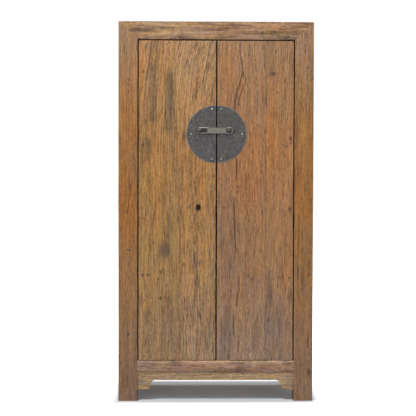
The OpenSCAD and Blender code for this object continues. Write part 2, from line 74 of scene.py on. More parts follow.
class Tree:
    def __init__(self, nodeTree):
        self.nodeTree = nodeTree

    # settings are set first, then the sockets, by name or number, get values or links
    def node(self, kind, settings={}, sockets={}, output=0):
        made = self.nodeTree.nodes.new(kind)
        for name, setting in settings.items():
            if name == "stops":
                setStops(made.color_ramp, setting)
            else:
                setattr(made, name, setting)
        for name, value in sockets.items():
            if isinstance(value, Value):
                self.nodeTree.links.new(value.socket, made.inputs[name])
            else:
                made.inputs[name].default_value = value
        self.last = made
        return Value(self, made.outputs[output]) if made.outputs else None

    def maths(self, how, *terms):
        return self.node("ShaderNodeMath", {"operation": how}, dict(enumerate(terms)))

    def vector(self, how, first, second, output=0):
        return self.node("ShaderNodeVectorMath", {"operation": how}, {0: first, 1: second}, output)

    def length(self, vector):
        return self.node("ShaderNodeVectorMath", {"operation": "LENGTH"}, {0: vector}, 1)

    def bright(self, colour, amount):
        return self.node("ShaderNodeVectorMath", {"operation": "SCALE"}, {0: colour, "Scale": amount})

    def join(self, x, y, z):
        return self.node("ShaderNodeCombineXYZ", {}, {0: x, 1: y, 2: z})

    def split(self, vector):
        self.node("ShaderNodeSeparateXYZ", {}, {0: vector})
        return [Value(self, part) for part in self.last.outputs]

    # 0 below low and 1 above high, with a smooth change between; low may be the larger one
    def ease(self, value, low, high):
        return self.node("ShaderNodeMapRange", {"interpolation_type": "SMOOTHSTEP"},
                         {0: value, 1: low, 2: high})

    def cloud(self, at, scale, detail=2.0, rough=0.5):
        return self.node("ShaderNodeTexNoise", {"noise_dimensions": "3D"},
                         {"Vector": at, "Scale": scale, "Detail": detail, "Roughness": rough})

    def mix(self, factor, first, second, how="MIX"):
        return self.node("ShaderNodeMix", {"data_type": "RGBA", "blend_type": how},
                         {0: factor, 6: first, 7: second}, 2)


def setStops(ramp, stops):
    while len(ramp.elements) < len(stops):
        ramp.elements.new(0.5)
    for element, (place, colour) in zip(ramp.elements, stops):
        element.position = place
        element.color = colour


# Colours are noted as a screen shows them, from 0 to 255
def colour(red, green, blue):
    def one(v):
        v = v / 255
        return v / 12.92 if v <= 0.04045 else ((v + 0.055) / 1.055) ** 2.4
    return (one(red), one(green), one(blue), 1.0)


def newMaterial(name):
    material = bpy.data.materials.new(name)
    material.use_nodes = True
    material.node_tree.nodes.clear()
    return material, Tree(material.node_tree)


# An object at the origin, linked to the scene
def addObject(name, data):
    made = bpy.data.objects.new(name, data)
    bpy.context.scene.collection.objects.link(made)
    return made


def meshFrom(bm, name):
    mesh = bpy.data.meshes.new(name)
    bm.to_mesh(mesh)
    bm.free()
    return mesh


# The plain mesh that an object's modifiers give; the object goes with them
def bakedMesh(work):
    depsgraph = bpy.context.evaluated_depsgraph_get()
    result = bpy.data.meshes.new_from_object(work.evaluated_get(depsgraph))
    bpy.data.objects.remove(work)
    return result


# Takes away what lies beyond a plane and closes the cut
def cutOff(bm, point, away):
    found = bmesh.ops.bisect_plane(bm, geom=bm.verts[:] + bm.edges[:] + bm.faces[:], dist=1e-6,
                                   plane_co=point, plane_no=away, clear_outer=True)
    edges = [e for e in found["geom_cut"] if isinstance(e, bmesh.types.BMEdge)]
    bmesh.ops.edgeloop_fill(bm, edges=edges)


def finishMaterial(tree, tone, rough, height, bump, metal=0.0, specular=0.5):
    normal = tree.node("ShaderNodeBump", {}, {"Strength": bump, "Distance": 0.001, "Height": height})
    shader = tree.node("ShaderNodeBsdfPrincipled", {}, {
        "Base Color": tone, "Roughness": rough, "Normal": normal, "Metallic": metal,
        "Specular IOR Level": specular})
    tree.node("ShaderNodeOutputMaterial", {}, {0: shader})


# Elm. The grain follows the growth rings of a log whose heart lies behind the face.
# across, depth and along are the object's axes as seen on the piece.
grainAxes = {"z": (0, 1, 2), "x": (2, 1, 0), "y": (2, 0, 1), "zSide": (1, 0, 2), "xFlat": (1, 2, 0)}

elmLook = {
    "grain": "z",
    "tones": ((147, 108, 68), (138, 103, 72), (129, 100, 78)),   # top, middle and bottom
    "reach": (0.0, 1.85),        # heights of the lowest and highest tone
    "heart": (0.0, 0.3),         # the log's heart, across and in depth
    "wander": 0.02,              # how far the grain strays from a straight line
    "wave": 0.005,               # small waves in the grain
    "lean": (9.0, 0.0),          # above this height the grain leans towards +x, ever more
    "bands": 75,                 # growth rings, per metre
    "dashes": 9,                 # streaks along the grain, per metre
    "contrast": 1.0,
    "lines": 0.5,                # how dark the thin lines of the rings are
    "stripes": 1.0,              # strength of the long straight stripes
    "dashed": 0.9,               # strength of the short dashes
    "grey": 0.3,                 # how much of the surface has gone grey
    "bump": 0.7,                 # strength of the relief, on pieces without marks
    "grime": None,               # depths between which an edge inside a gap gets painted shade
    "marks": (),
    "cracks": (),
    "seed": 0,
    "front": -0.229,             # depth of the piece's face
}
doorReach = (0.386, 0.3825)      # the painted shade of the gaps reaches no further out than the doors' gaps


# colours of what shows in the wood
elmColours = {
    "groove": (80, 55, 46),
    "thread": (76, 54, 48),
    "pore": (66, 44, 34),
    "grey": (126, 108, 88),
    # a crack's line is dirt and painted shade; the colour inside a crack is painted shade
    "crack": (58, 42, 38),
    "crackInside": (38, 28, 24),
    # painted shade in the gaps round the doors
    "grime": (36, 27, 23),
}

# What each kind of mark does, from its outer layer inwards: the distances between which a layer
# fades in, where 1 is the mark's own edge, its share of the mark's strength, and its colour.
# A layer either paints its colour, paints it in rings, or tints the wood with it.
markLayers = {
    "knot": ((1.5, 0.5, 1.0, "rings", (74, 50, 36)), (0.6, 0.2, 1.0, "paint", (44, 32, 27))),
    "nail": ((2.2, 0.9, 0.55, "paint", (88, 70, 58)), (1.0, 0.7, 1.0, "paint", (52, 46, 44)),
             (0.45, 0.2, 0.6, "paint", (150, 142, 134))),
    # a hole's inner layer is painted shade in its depth
    "hole": ((1.7, 1.0, 0.667, "paint", (92, 68, 50)), (1.12, 0.92, 1.0, "paint", (52, 55, 60))),
    "pale": ((1.2, 0.5, 1.0, "paint", (186, 168, 148)),),
    "stain": ((1.3, 0.2, 1.0, "paint", (96, 76, 62)),),
    "strip": ((0.0, 0.0, 1.0, "tint", (0.6, 0.67, 0.74)),),     # its sides are straight
    "olive": ((1.25, 0.8, 1.0, "tint", (0.66, 0.74, 0.8)),),
    "amber": ((1.5, 0.1, 1.0, "tint", (1.22, 0.94, 0.55)),),
    "ash": ((1.5, 0.1, 1.0, "tint", (0.7, 0.8, 1.12)),),
}
smoothMarks = ("amber", "ash")     # the others have a ragged edge


def elm(name, **changes):
    look = dict(elmLook, **changes)
    material, tree = newMaterial(name)
    place = tree.node("ShaderNodeTexCoord", {}, {}, 3)
    parts = tree.split(place)
    across, depth, along = (parts[i] for i in grainAxes[look["grain"]])
    seed = look["seed"] * 3.7
    contrast = look["contrast"]
    shade = {use: colour(*tone) for use, tone in elmColours.items()}

    # the grain strays slowly, ripples, leans near the top of some boards and bends round knots
    stray = tree.cloud(tree.join(across * 2.2 + seed, depth * 2.2, along * 0.8), 1.0, 1.0)
    ripple = tree.cloud(tree.join(across * 13 + seed, depth * 6, along * 6), 1.0, 2.0)
    leanFrom, leanBy = look["lean"]
    above = tree.maths("MAXIMUM", along - leanFrom, 0.0)
    side = across + (stray - 0.5) * look["wander"] * 2 + (ripple - 0.5) * look["wave"] * 2
    bent = side - above * above * leanBy
    spots = []
    for mark in look["marks"]:
        kind, x, z, width, height, strength = mark
        at = tree.vector("SUBTRACT", tree.join(across, along, depth),
                         (x * mm, z * mm, look["front"]))
        far = tree.length(tree.vector("MULTIPLY", at, (2000 / width, 2000 / height, 60)))
        spots.append((mark, far))
        if kind == "knot":
            bent = bent + tree.ease(far, 3.2, 0.6) * (width * 0.35 * mm)
    heartSide, heartDepth = look["heart"]
    ring = tree.length(tree.join(bent - heartSide, (depth - heartDepth) * 0.6, 0.0))

    # streaks along the rings, from broad bands to single fibres
    bands, dashes = look["bands"], look["dashes"]

    def pattern(crosswise, lengthwise, shift, detail, fine=0.5):
        at = tree.join(ring * (bands * crosswise) + seed, along * lengthwise, seed + shift)
        return tree.cloud(at, 1.0, detail, fine)

    broad = pattern(0.4, dashes * 0.16, 0, 1.5)
    streak = pattern(2.3, dashes * 1.4, 2, 2.5, 0.6)
    thin = pattern(1.25, dashes * 0.55, 5, 2.0, 0.6)
    stripe = pattern(3.1, 4.5, 3, 1.5, 0.6)
    dash = pattern(2.6, 62, 4, 1.0, 0.6)
    fibre = tree.cloud(tree.join(bent * 420, along * 34, depth * 420), 1.0, 2.0, 0.7)
    speck = tree.cloud(tree.join(across * 210 + seed, along * 120, depth * 210), 1.0, 2.0, 0.7)
    ridge = tree.ease(streak, 0.52, 0.7)
    groove = tree.ease(streak, 0.46, 0.3)
    thread = tree.ease(tree.maths("ABSOLUTE", thin - 0.5), 0.035, 0.0)
    pore = tree.ease(fibre, 0.42, 0.25)

    # tone: top to bottom, then streaks of orange, yellow and grey, and patches gone grey
    low, high = look["reach"]
    tones = look["tones"]
    stops = [(k / max(1, len(tones) - 1), colour(*one)) for k, one in enumerate(reversed(tones))]
    tone = tree.node("ShaderNodeValToRGB", {"stops": stops},
                     {0: tree.node("ShaderNodeMapRange", {}, {0: parts[2], 1: low, 2: high})})
    hue = pattern(1.7, dashes * 1.1, 7, 2.5)
    ochre = pattern(0.9, dashes * 0.7, 9, 2.5)
    for cloud, cool, warm in ((hue, (0.93, 0.97, 1.13, 1), (1.07, 1.01, 0.84, 1)),
                              (ochre, (1.04, 0.97, 0.97, 1), (0.98, 1.03, 0.96, 1))):
        tone = tree.mix(1.0, tone, tree.mix(tree.ease(cloud, 0.34, 0.66), cool, warm), "MULTIPLY")
    patch = tree.cloud(tree.join(bent * 14 + seed, depth * 5, along * 2.2), 1.0, 2.5)
    patchGrey = tree.ease(patch, 0.52, 0.7)
    tone = tree.mix(patchGrey * look["grey"], tone, shade["grey"])
    gain = 1.035 + (broad - 0.5) * 0.2 + (streak - 0.5) * (0.8 * contrast) + ridge * (0.1 * contrast)
    gain = gain + (fibre - 0.5) * (1.0 * contrast) + (speck - 0.5) * (1.1 * contrast)
    gain = gain + (stripe - 0.5) * look["stripes"] + (dash - 0.5) * look["dashed"]
    tone = tree.bright(tone, gain)
    tone = tree.mix(groove * (0.5 * contrast), tone, shade["groove"])
    tone = tree.mix(thread * tree.ease(broad, 0.62, 0.4) * look["lines"], tone, shade["thread"])
    tone = tree.mix(pore * 0.5, tone, shade["pore"])
    rough = 0.6 + (fibre - 0.5) * 0.2 + patchGrey * 0.1
    relief = streak * 0.9 - groove * 0.5 - thread * 0.5 + fibre * 0.5 + broad * 0.3 - pore * 0.4

    ragged = (speck - 0.5) * 0.7
    for (kind, x, z, width, height, strength), far in spots:
        edge = far if kind in smoothMarks else far + ragged
        for start, end, share, how, paint in markLayers[kind]:
            if kind == "strip":
                mask = stripMask(tree, across + (thin - 0.5) * 0.006, along, x, z, width, height)
            else:
                mask = tree.ease(edge, start, end)
            if how == "rings":
                mask = mask * (tree.maths("SINE", edge * 9.0) * 0.25 + 0.75)
            other = tree.vector("MULTIPLY", tone, paint) if how == "tint" else colour(*paint)
            tone = tree.mix(mask * (share * strength), tone, other)

    # cracks: painted shade on their inside walls and a broken dark line of dirt and painted shade along them,
    # on the front alone
    front = look["front"]
    inside = tree.ease(depth, front + 0.5 * mm, front + 1.6 * mm)
    outer = tree.ease(depth, front + 14 * mm, front + 9 * mm)
    for crack in look["cracks"]:
        near = crackDistance(tree, across, along, crack["points"])
        wide = crack["width"] * mm
        worn = near + (thin - 0.5) * 0.008 + (streak - 0.5) * 0.006
        line = tree.ease(worn, wide * 1.8 + 2 * mm, 0.0) * outer * crack.get("dark", 0.75)
        tone = tree.mix(line, tone, colour(*crack.get("tone", elmColours["crack"])))
        # painted shade on the walls inside the crack
        tone = tree.mix(tree.ease(near, 8 * mm, 6 * mm) * inside * outer * 0.9, tone, shade["crackInside"])
    # painted shade on the edges inside the gaps round the doors and posts
    if look["grime"]:
        first, last = look["grime"]
        gapShadow = tree.ease(depth, front + first * mm, front + (first + 2) * mm)
        gapShadow = gapShadow * tree.ease(depth, front + last * mm, front + (last - 2) * mm)
        gapShadow = gapShadow * tree.ease(tree.maths("ABSOLUTE", across), *doorReach)
        tone = tree.mix(gapShadow * 0.85, tone, shade["grime"])
    # the pieces with marks are waxed smooth
    finishMaterial(tree, tone, rough, relief, 0.0 if look["marks"] else look["bump"], specular=0.25)
    return material


# An upright strip with sharp sides that fades at its ends
def stripMask(tree, across, along, x, z, width, height):
    sideways = tree.maths("ABSOLUTE", across - x * mm)
    upwards = tree.maths("ABSOLUTE", along - z * mm)
    flat = tree.ease(sideways, width * 0.5 * mm + 2 * mm, width * 0.5 * mm - 2 * mm)
    return flat * tree.ease(upwards, height * 0.5 * mm, height * 0.34 * mm)


# Distance from a bent line on the face, in metres
def crackDistance(tree, across, along, points):
    flat = tree.join(across, along, 0.0)
    near = None
    for (x0, z0), (x1, z1) in zip(points, points[1:]):
        start = (x0 * mm, z0 * mm, 0.0)
        way = ((x1 - x0) * mm, (z1 - z0) * mm, 0.0)
        span = way[0] ** 2 + way[1] ** 2
        at = tree.vector("SUBTRACT", flat, start)
        share = tree.vector("DOT_PRODUCT", at, tuple(w / span for w in way), 1)
        share = tree.node("ShaderNodeClamp", {}, {0: share})
        away = tree.length(tree.vector("SUBTRACT", at, tree.bright(way, share)))
        near = away if near is None else tree.maths("MINIMUM", near, away)
    return near


# Forged iron: grey, mottled, its rim worn bright with a painted highlight, and a bar with a painted highlight
# along its upper edge
# All its colours are as a screen shows them
ironLook = {
    "base": (104, 100, 90),
    "light": (140, 136, 124),
    "dark": (66, 62, 56),
    "rimWearAndSheen": 0.5,       # how bright the rim is painted, as worn metal and as a highlight
    "metal": 0.35,
    "rough": 0.45,
    "mottling": 0.5,
    "seed": 0,
    "centre": None,      # of a round piece
    "radius": 0.14,
    "heads": (),         # nails with a ring of painted shadow round them
    "dirt": (),          # x, z and half the width and height of places darkened with dirt and painted shadow, in millimetres
    "bar": None,         # bottom and top of a bar, with a painted highlight on its upper edge and painted shade on its lower edge
}
# in order: a rim worn bright and painted as a highlight, painted shadow round nails, dirt and painted shadow,
# a painted highlight on a bar's upper edge, painted shade on its lower edge
ironColours = {"rim": (150, 146, 140), "ring": (30, 27, 26), "dirt": (33, 27, 24),
               "bright": (176, 174, 166), "dull": (56, 48, 44)}


def iron(name, **changes):
    look = dict(ironLook, **changes)
    material, tree = newMaterial(name)
    place = tree.node("ShaderNodeTexCoord", {}, {}, 3)
    seed, mottling = look["seed"], look["mottling"]
    dark = colour(*look["dark"])
    shade = {use: colour(*tone) for use, tone in ironColours.items()}
    moved = tree.vector("ADD", place, (seed * 1.3, seed * 0.7, seed * 2.1))
    mottle = tree.cloud(moved, 95.0, 3.0, 0.65)
    grain = tree.cloud(moved, 420.0, 3.0, 0.6)
    pits = tree.cloud(moved, 900.0, 1.0)
    tone = tree.mix(tree.ease(mottle, 0.5, 0.72) * mottling, colour(*look["base"]), colour(*look["light"]))
    tone = tree.mix(tree.ease(mottle, 0.5, 0.3) * mottling, tone, dark)
    tone = tree.bright(tone, 0.8 + grain * 0.4)
    pitted = tree.ease(pits, 0.62, 0.8)
    tone = tree.mix(pitted * (0.5 * mottling), tone, dark)
    relief = grain * 0.7 + mottle * (1.5 * mottling) - pitted * 0.6

    # distance from a point on the face, in units of the sizes given
    def awayFrom(point, wide=1.0, high=1.0):
        at = tree.vector("SUBTRACT", place, point)
        return tree.length(tree.vector("MULTIPLY", at, (1 / wide, 0, 1 / high)))

    # the rim is painted bright, as wear and as a highlight
    if look["centre"]:
        away = awayFrom(look["centre"]) + (mottle - 0.5) * 0.004
        rim = tree.ease(away, look["radius"] - 4 * mm, look["radius"] - 0.5 * mm)
        tone = tree.mix(rim * look["rimWearAndSheen"], tone, shade["rim"])
    # a ring of painted shadow round each nail head
    for head in look["heads"]:
        tone = tree.mix(tree.ease(awayFrom(head), 9.5 * mm, 6 * mm) * 0.85, tone, shade["ring"])
    # patches of dirt and painted shadow
    for x, z, halfWide, halfHigh in look["dirt"]:
        away = awayFrom((x * mm, 0, z * mm), halfWide * mm, halfHigh * mm) + (mottle - 0.5)
        tone = tree.mix(tree.ease(away, 1.25, 0.7) * 0.88, tone, shade["dirt"])
    # a painted highlight along the bar's upper edge and painted shade along its lower edge
    if look["bar"]:
        low, high = look["bar"]
        z = tree.split(place)[2] + (mottle - 0.5) * 0.002
        tone = tree.mix(tree.ease(z, high - 4.5 * mm, high - 1.5 * mm) * 0.8, tone, shade["bright"])
        tone = tree.mix(tree.ease(z, low + 4.5 * mm, low + 1 * mm) * 0.8, tone, shade["dull"])
    rough = look["rough"] + (grain - 0.5) * 0.25
    finishMaterial(tree, tone, rough, relief, 0.5, metal=look["metal"])
    return material


# A wooden member: rings of points along the grain, with worn corners and faces
wear = {
    "step": 14 * mm,        # from ring to ring
    "cell": 22 * mm,        # from point to point across a face
    "corner": 2.2 * mm,     # usual radius of an edge
    "chips": 3.0 * mm,      # how much wider the radius gets at a knock
    "faces": 0.6 * mm,      # how far faces are worn down
    "ends": 1.6 * mm,       # bevel at both ends
    "tight": 0.3 * mm,      # radius of an edge at a joint
}


def roundedRing(p0, p1, q0, q1, radii, divisions):
    # points and outward directions round a rectangle, corner by corner
    points = []
    corners = ((p1, q0, 1, -1, 270), (p1, q1, 1, 1, 0), (p0, q1, -1, 1, 90), (p0, q0, -1, -1, 180))
    ways = ((0, -1), (1, 0), (0, 1), (-1, 0))
    for i, (p, q, sp, sq, begin) in enumerate(corners):
        before = corners[i - 1]
        rBefore = radii[i - 1]
        r = radii[i]
        way = ways[i]
        start = (before[0] - before[2] * (rBefore if way[1] else 0),
                 before[1] - before[3] * (0 if way[1] else rBefore))
        end = (p - sp * (r if way[1] else 0), q - sq * (0 if way[1] else r))
        count = divisions[i % 2]
        for k in range(1, count):
            t = k / count
            points.append((start[0] + (end[0] - start[0]) * t, start[1] + (end[1] - start[1]) * t, *way))
        for k in range(4):
            a = math.radians(begin + 30 * k)
            points.append((p - sp * r + r * math.cos(a), q - sq * r + r * math.sin(a),
                           math.cos(a), math.sin(a)))
    return points


def member(name, low, high, grain="z", cuts=(), limits=None, corner=1.0, faces=1.0, seed=0, tight=()):
    axes = {"z": (0, 1, 2), "x": (1, 2, 0), "y": (2, 0, 1)}[grain]
    p0, q0, s0 = (low[i] for i in axes)
    p1, q1, s1 = (high[i] for i in axes)
    divisions = [max(1, round(size / wear["cell"])) for size in (p1 - p0, q1 - q0)]
    shift = Vector((seed * 1.71, seed * 0.37, seed * 2.93))
    steps = max(2, round((s1 - s0) / wear["step"]))
    places = [s0 + (s1 - s0) * k / steps for k in range(steps + 1)]
    end = wear["ends"]
    middle = [s for s in places if s0 + end < s < s1 - end]
    places = [s0, s0 + end * 0.3] + middle + [s1 - end * 0.3, s1]
    insets = [end, end * 0.3] + [0] * len(middle) + [end * 0.3, end]
    bm = bmesh.new()
    rings = []
    for s, inset in zip(places, insets):
        a0, a1, b0, b1 = limits(s) if limits else (p0, p1, q0, q1)
        radii = []
        for k in range(4):
            knock = max(0.0, noise.noise(Vector((s * 9, k * 7.7, seed * 3.1))) - 0.15)
            small = 0.5 + 0.5 * noise.noise(Vector((s * 35, k * 3.3, seed * 1.9)))
            size = corner * (wear["corner"] * (0.6 + 0.7 * small) + wear["chips"] * knock * 2)
            radii.append(wear["tight"] if k in tight else size)
        ring = []
        inner = (a0 + inset, a1 - inset, b0 + inset, b1 - inset)
        for p, q, pWay, qWay in roundedRing(*inner, radii, divisions):
            at = [0, 0, 0]
            at[axes[0]], at[axes[1]], at[axes[2]] = p, q, s
            at = Vector(at)
            worn = 0.5 + 0.5 * noise.noise(at * 7 + shift)
            worn += 0.35 * noise.noise(at * 31 + shift)
            worn = wear["faces"] * faces * max(0.0, worn)
            at[axes[0]] -= pWay * worn
            at[axes[1]] -= qWay * worn
            ring.append(bm.verts.new(at))
        rings.append(ring)
    for ringA, ringB in zip(rings, rings[1:]):
        for k in range(len(ringA)):
            m = (k + 1) % len(ringA)
            bm.faces.new((ringA[k], ringA[m], ringB[m], ringB[k]))
    bm.faces.new(list(reversed(rings[0])))
    bm.faces.new(rings[-1])
    for point, away in cuts:
        cutOff(bm, point, away)
    bmesh.ops.recalc_face_normals(bm, faces=bm.faces[:])
    return meshFrom(bm, name)


def place(name, mesh, material, body, nodes, slot):
    mesh.shade_smooth()
    mesh.set_sharp_from_angle(angle=math.radians(40))
    mesh.materials.clear()
    mesh.materials.append(material)
    piece = addObject(name, mesh)
    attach(piece, body)
    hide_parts(*nodes)


# Cuts a shaped tool out of a mesh
def carve(mesh, tool):
    work = addObject("work", mesh)
    knife = addObject("knife", tool)
    cut = work.modifiers.new("cut", "BOOLEAN")
    cut.operation = "DIFFERENCE"
    cut.solver = "EXACT"
    cut.object = knife
    result = bakedMesh(work)
    bpy.data.objects.remove(knife)
    return result


def addTube(bm, rings):
    made = [[bm.verts.new(p) for p in ring] for ring in rings]
    for a, b in zip(made, made[1:]):
        for k in range(len(a)):
            m = (k + 1) % len(a)
            bm.faces.new((a[k], a[m], b[m], b[k]))
    bm.faces.new(list(reversed(made[0])))
    bm.faces.new(made[-1])


# A smooth path through the points, with small wobbles, in millimetres
def crackPath(points):
    ends = [points[0]] + list(points) + [points[-1]]
    path = []
    for a, b, c, d in zip(ends, ends[1:], ends[2:], ends[3:]):
        steps = max(2, round(math.hypot(c[0] - b[0], c[1] - b[1]) / 6))
        for k in range(steps + (1 if c is points[-1] else 0)):
            t = k / steps
            at = [0.5 * (2 * q + (r - p) * t + (2 * p - 5 * q + 4 * r - s) * t * t
                         + (3 * q - 3 * r + s - p) * t ** 3) for p, q, r, s in zip(a, b, c, d)]
            at[0] += 1.4 * noise.noise(Vector((a[0], at[1] / 26, 3)))
            at[0] += 0.6 * noise.noise(Vector((5, at[1] / 8, a[0])))
            path.append(at)
    return path


# A wedge along a path: wide at the face, pointed behind it and at its ends
def crackRings(points, width, depth, face):
    path = crackPath(points)
    rings = []
    for k, (x, z) in enumerate(path):
        share = (k + 0.02) / (len(path) - 0.96)
        gape = 0.1 + 0.9 * math.sin(math.pi * share) ** 0.7
        gape *= 0.75 + 0.6 * noise.noise(Vector((x / 9, z / 30, 7)))
        half = max(0.12, width * gape / 2) * mm
        x, z = x * mm, z * mm
        deep = face + depth * max(gape, 0.15) * mm
        rings.append([Vector((x - half, face - 1 * mm, z)), Vector((x + half, face - 1 * mm, z)),
                      Vector((x + 0.3 * half, deep, z)), Vector((x - 0.3 * half, deep, z))])
    return rings


# A knothole: rings from just in front of the face to its bottom, each a share of its size
def holeRings(x, z, width, height, depth, face):
    rings = []
    for share, y in ((1.12, -1.0), (1.0, 0.6), (0.93, 2.0), (0.84, depth * 0.6), (0.6, depth)):
        ring = []
        for k in range(20):
            a = 2 * math.pi * k / 20
            turnX, turnZ = math.cos(a), math.sin(a)
            ragged = noise.noise(Vector((turnX * 2 + x, turnZ * 2 + z, y * 0.1)))
            size = share * (1 + 0.12 * ragged)
            ring.append(Vector(((x + width / 2 * size * turnX) * mm, face + y * mm,
                                (z + height / 2 * size * turnZ) * mm)))
        rings.append(ring)
    return rings


print("helpers ready")


# Sizes that the pieces share, read from the frame
cab = {
    "left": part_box("post_front_left")[0].x,
    "right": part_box("post_front_right")[1].x,
    "openLeft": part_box("post_front_left")[1].x,
    "openRight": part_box("post_front_right")[0].x,
    "front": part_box("post_front_left")[0].y,
    "back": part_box("post_back_left")[1].y,
    "insideFront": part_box("post_front_left")[1].y,
    "insideBack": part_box("post_back_left")[0].y,
    "top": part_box("post_front_left")[1].z,
    "underTop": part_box("top_rail_front")[0].z,
}
gap = 0.12 * mm          # half of the joint that shows at a mitre
boardMeet = 1.5 * mm     # how far boards side by side reach past their line, so that no light shows
widthWay = Vector((cab["openLeft"] - cab["left"], 0, cab["top"] - cab["underTop"]))
depthWay = Vector((0, cab["insideFront"] - cab["front"], cab["top"] - cab["underTop"]))


# The corner and the three planes of a mitre at one corner of the top frame
def mitre(sideSign, endSign):
    return {
        "corner": Vector((cab["left"] if sideSign < 0 else cab["right"],
                          cab["front"] if endSign < 0 else cab["back"], cab["top"])),
        "face": Vector((-sideSign * widthWay.z, 0, widthWay.x)).normalized(),
        "side": Vector((0, -endSign * depthWay.z, depthWay.y)).normalized(),
        "flat": Vector((-sideSign * depthWay.y, endSign * widthWay.x, 0)).normalized(),
    }


# A cut just beside one plane of a mitre; sign says which side is taken away
def mitreCut(at, plane, sign):
    return at["corner"] - at[plane] * (sign * gap), at[plane] * sign


# A wooden piece in place of one node, named after it
def wood(node, mesh, body, slot, **look):
    name = camel(node)
    place(name, mesh, elm(name, **look), body, (node,), slot)


postLooks = {
    "post_front_left": {"seed": 1, "heart": (-0.9, 0.1), "bands": 95, "marks": (
        ("knot", -427, 1568, 9, 14, 0.8), ("knot", -427, 1544, 11, 20, 0.55),
        ("nail", -426, 740, 17, 8, 0.8), ("nail", -425, 328, 12, 14, 0.85),
        ("stain", -433, 930, 14, 22, 0.7), ("stain", -436, 1240, 12, 90, 0.35),
        ("stain", -412, 900, 9, 60, 0.4), ("amber", -440, 1040, 100, 480, 0.45),
        ("amber", -430, 1500, 100, 500, 0.25)),
        "cracks": ({"width": 1.6, "points": ((-413, 1062), (-419, 1002), (-428, 934), (-431, 915))},)},
    "post_front_right": {"seed": 2, "heart": (0.9, 0.12), "bands": 90, "marks": (
        ("nail", 433, 1708, 8, 8, 0.7), ("nail", 445, 1627, 9, 9, 0.75),
        ("stain", 450, 1127, 12, 14, 0.7), ("nail", 454, 619, 13, 13, 0.7),
        ("knot", 457, 142, 16, 34, 0.8), ("stain", 452, 295, 10, 60, 0.6)),
        "cracks": ({"width": 1.8, "points": ((402, 655), (400, 627), (399, 590))},
                   {"width": 1.4, "points": ((454, 326), (451, 290), (452, 262))})},
    "post_back_left": {"seed": 3, "heart": (-0.9, 0.3), "bands": 85},
    "post_back_right": {"seed": 4, "heart": (0.9, 0.3), "bands": 85},
}
postTones = ((150, 119, 92), (147, 104, 58), (145, 98, 47), (138, 101, 66), (126, 98, 78))
gapShadeDepths = (3, 27)     # painted shade in the gaps, in millimetres behind the face


def buildPosts():
    for node, look in postLooks.items():
        at = mitre(-1 if "left" in node else 1, -1 if "front" in node else 1)
        mesh = member(node, *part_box(node), "z", seed=look["seed"],
                      cuts=(mitreCut(at, "face", 1), mitreCut(at, "side", 1)))
        if "front" in node:
            mesh = carveFace(mesh, look["cracks"], (), cab["front"])
        wood(node, mesh, "carcass", "elm_frame", tones=postTones, grime=gapShadeDepths, contrast=0.85,
             wander=0.01, **look)


def camel(node):
    first, *others = node.split("_")
    return first + "".join(word.capitalize() for word in others)


def carveFace(mesh, cracks, holes, face):
    tubes = [crackRings(crack["points"], crack["width"], crack.get("depth", 7), face)
             for crack in cracks if crack.get("carved", True)]
    tubes += [holeRings(x, z, width, height, depth, face) for x, z, width, height, depth in holes]
    for rings in tubes:
        bm = bmesh.new()
        addTube(bm, rings)
        bmesh.ops.recalc_face_normals(bm, faces=bm.faces[:])
        mesh = carve(mesh, meshFrom(bm, "tool"))
    return mesh


topLook = {"reach": (cab["underTop"], cab["top"])}
topLooks = {
    "front": {"grain": "x", "wander": 0.012, "wave": 0.006, "bands": 62, "heart": (1.72, 0.1), "grey": 0.2,
              "dashes": 6, "lines": 1.0, "stripes": 2.0, "contrast": 1.2,
              "tones": ((151, 119, 88), (151, 118, 88), (146, 112, 85))},
    "side": {"grain": "y", "heart": (1.7, 0), "front": cab["left"],
             "tones": ((150, 116, 82), (148, 113, 80), (145, 110, 80))},
    "board": {"grain": "xFlat", "bands": 70, "heart": (0.9, 1.7), "reach": (0, 3), "grey": 0.5,
              "wander": 0.03, "tones": ((154, 124, 88),) * 3},
}
# here x is the height and z the way along
topMarks = (("knot", 1828, 327, 9, 26, 0.6), ("stain", 1800, -300, 14, 90, 0.3))


def buildTopFrame():
    for end, endSign in (("front", -1), ("back", 1)):
        node = "top_rail_" + end
        cuts = []
        for sideSign in (-1, 1):
            at = mitre(sideSign, endSign)
            cuts += [mitreCut(at, "face", -1), mitreCut(at, "flat", -1)]
        mesh = member(node, *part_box(node), "x", cuts=cuts, seed=6 + endSign)
        wood(node, mesh, "carcass", "elm_frame", seed=6 + endSign,
             marks=topMarks if end == "front" else (), **topLook, **topLooks["front"])
    for side, sideSign in (("left", -1), ("right", 1)):
        node = "top_rail_" + side
        cuts = []
        for endSign in (-1, 1):
            at = mitre(sideSign, endSign)
            cuts += [mitreCut(at, "side", -1), mitreCut(at, "flat", 1)]
        mesh = member(node, *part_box(node), "y", cuts=cuts, seed=9 + sideSign)
        wood(node, mesh, "carcass", "elm_frame", seed=9 + sideSign, **topLook, **topLooks["side"])
    for end, seed in (("front", 12), ("back", 13)):
        node = "top_board_" + end
        low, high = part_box(node)
        if end == "front":
            high.y += boardMeet
        else:
            low.y -= boardMeet
        mesh = member(node, low, high, "x", seed=seed, corner=0.6, faces=1.4)
        wood(node, mesh, "carcass", "elm_panels", seed=seed, **topLooks["board"])


railLooks = {
    # the bottom rails' lightest tone, at the top, is wear and a painted highlight along their upper edge
    "bottom": {"grain": "x", "bands": 90, "heart": (0.1, 0.1), "wander": 0.01, "wave": 0.004, "grey": 0.4,
               "tones": ((186, 156, 130), (154, 122, 102), (150, 118, 96), (146, 116, 100))},
    "middle": {"grain": "x", "heart": (0.9, 0.1), "wander": 0.01, "tones": ((146, 112, 78),) * 3},
    "side": {"grain": "y", "wander": 0.01, "tones": ((146, 112, 80), (142, 108, 78), (138, 106, 80))},
}
railEnd = 1 * mm     # how far a rail's dressed end reaches into the post


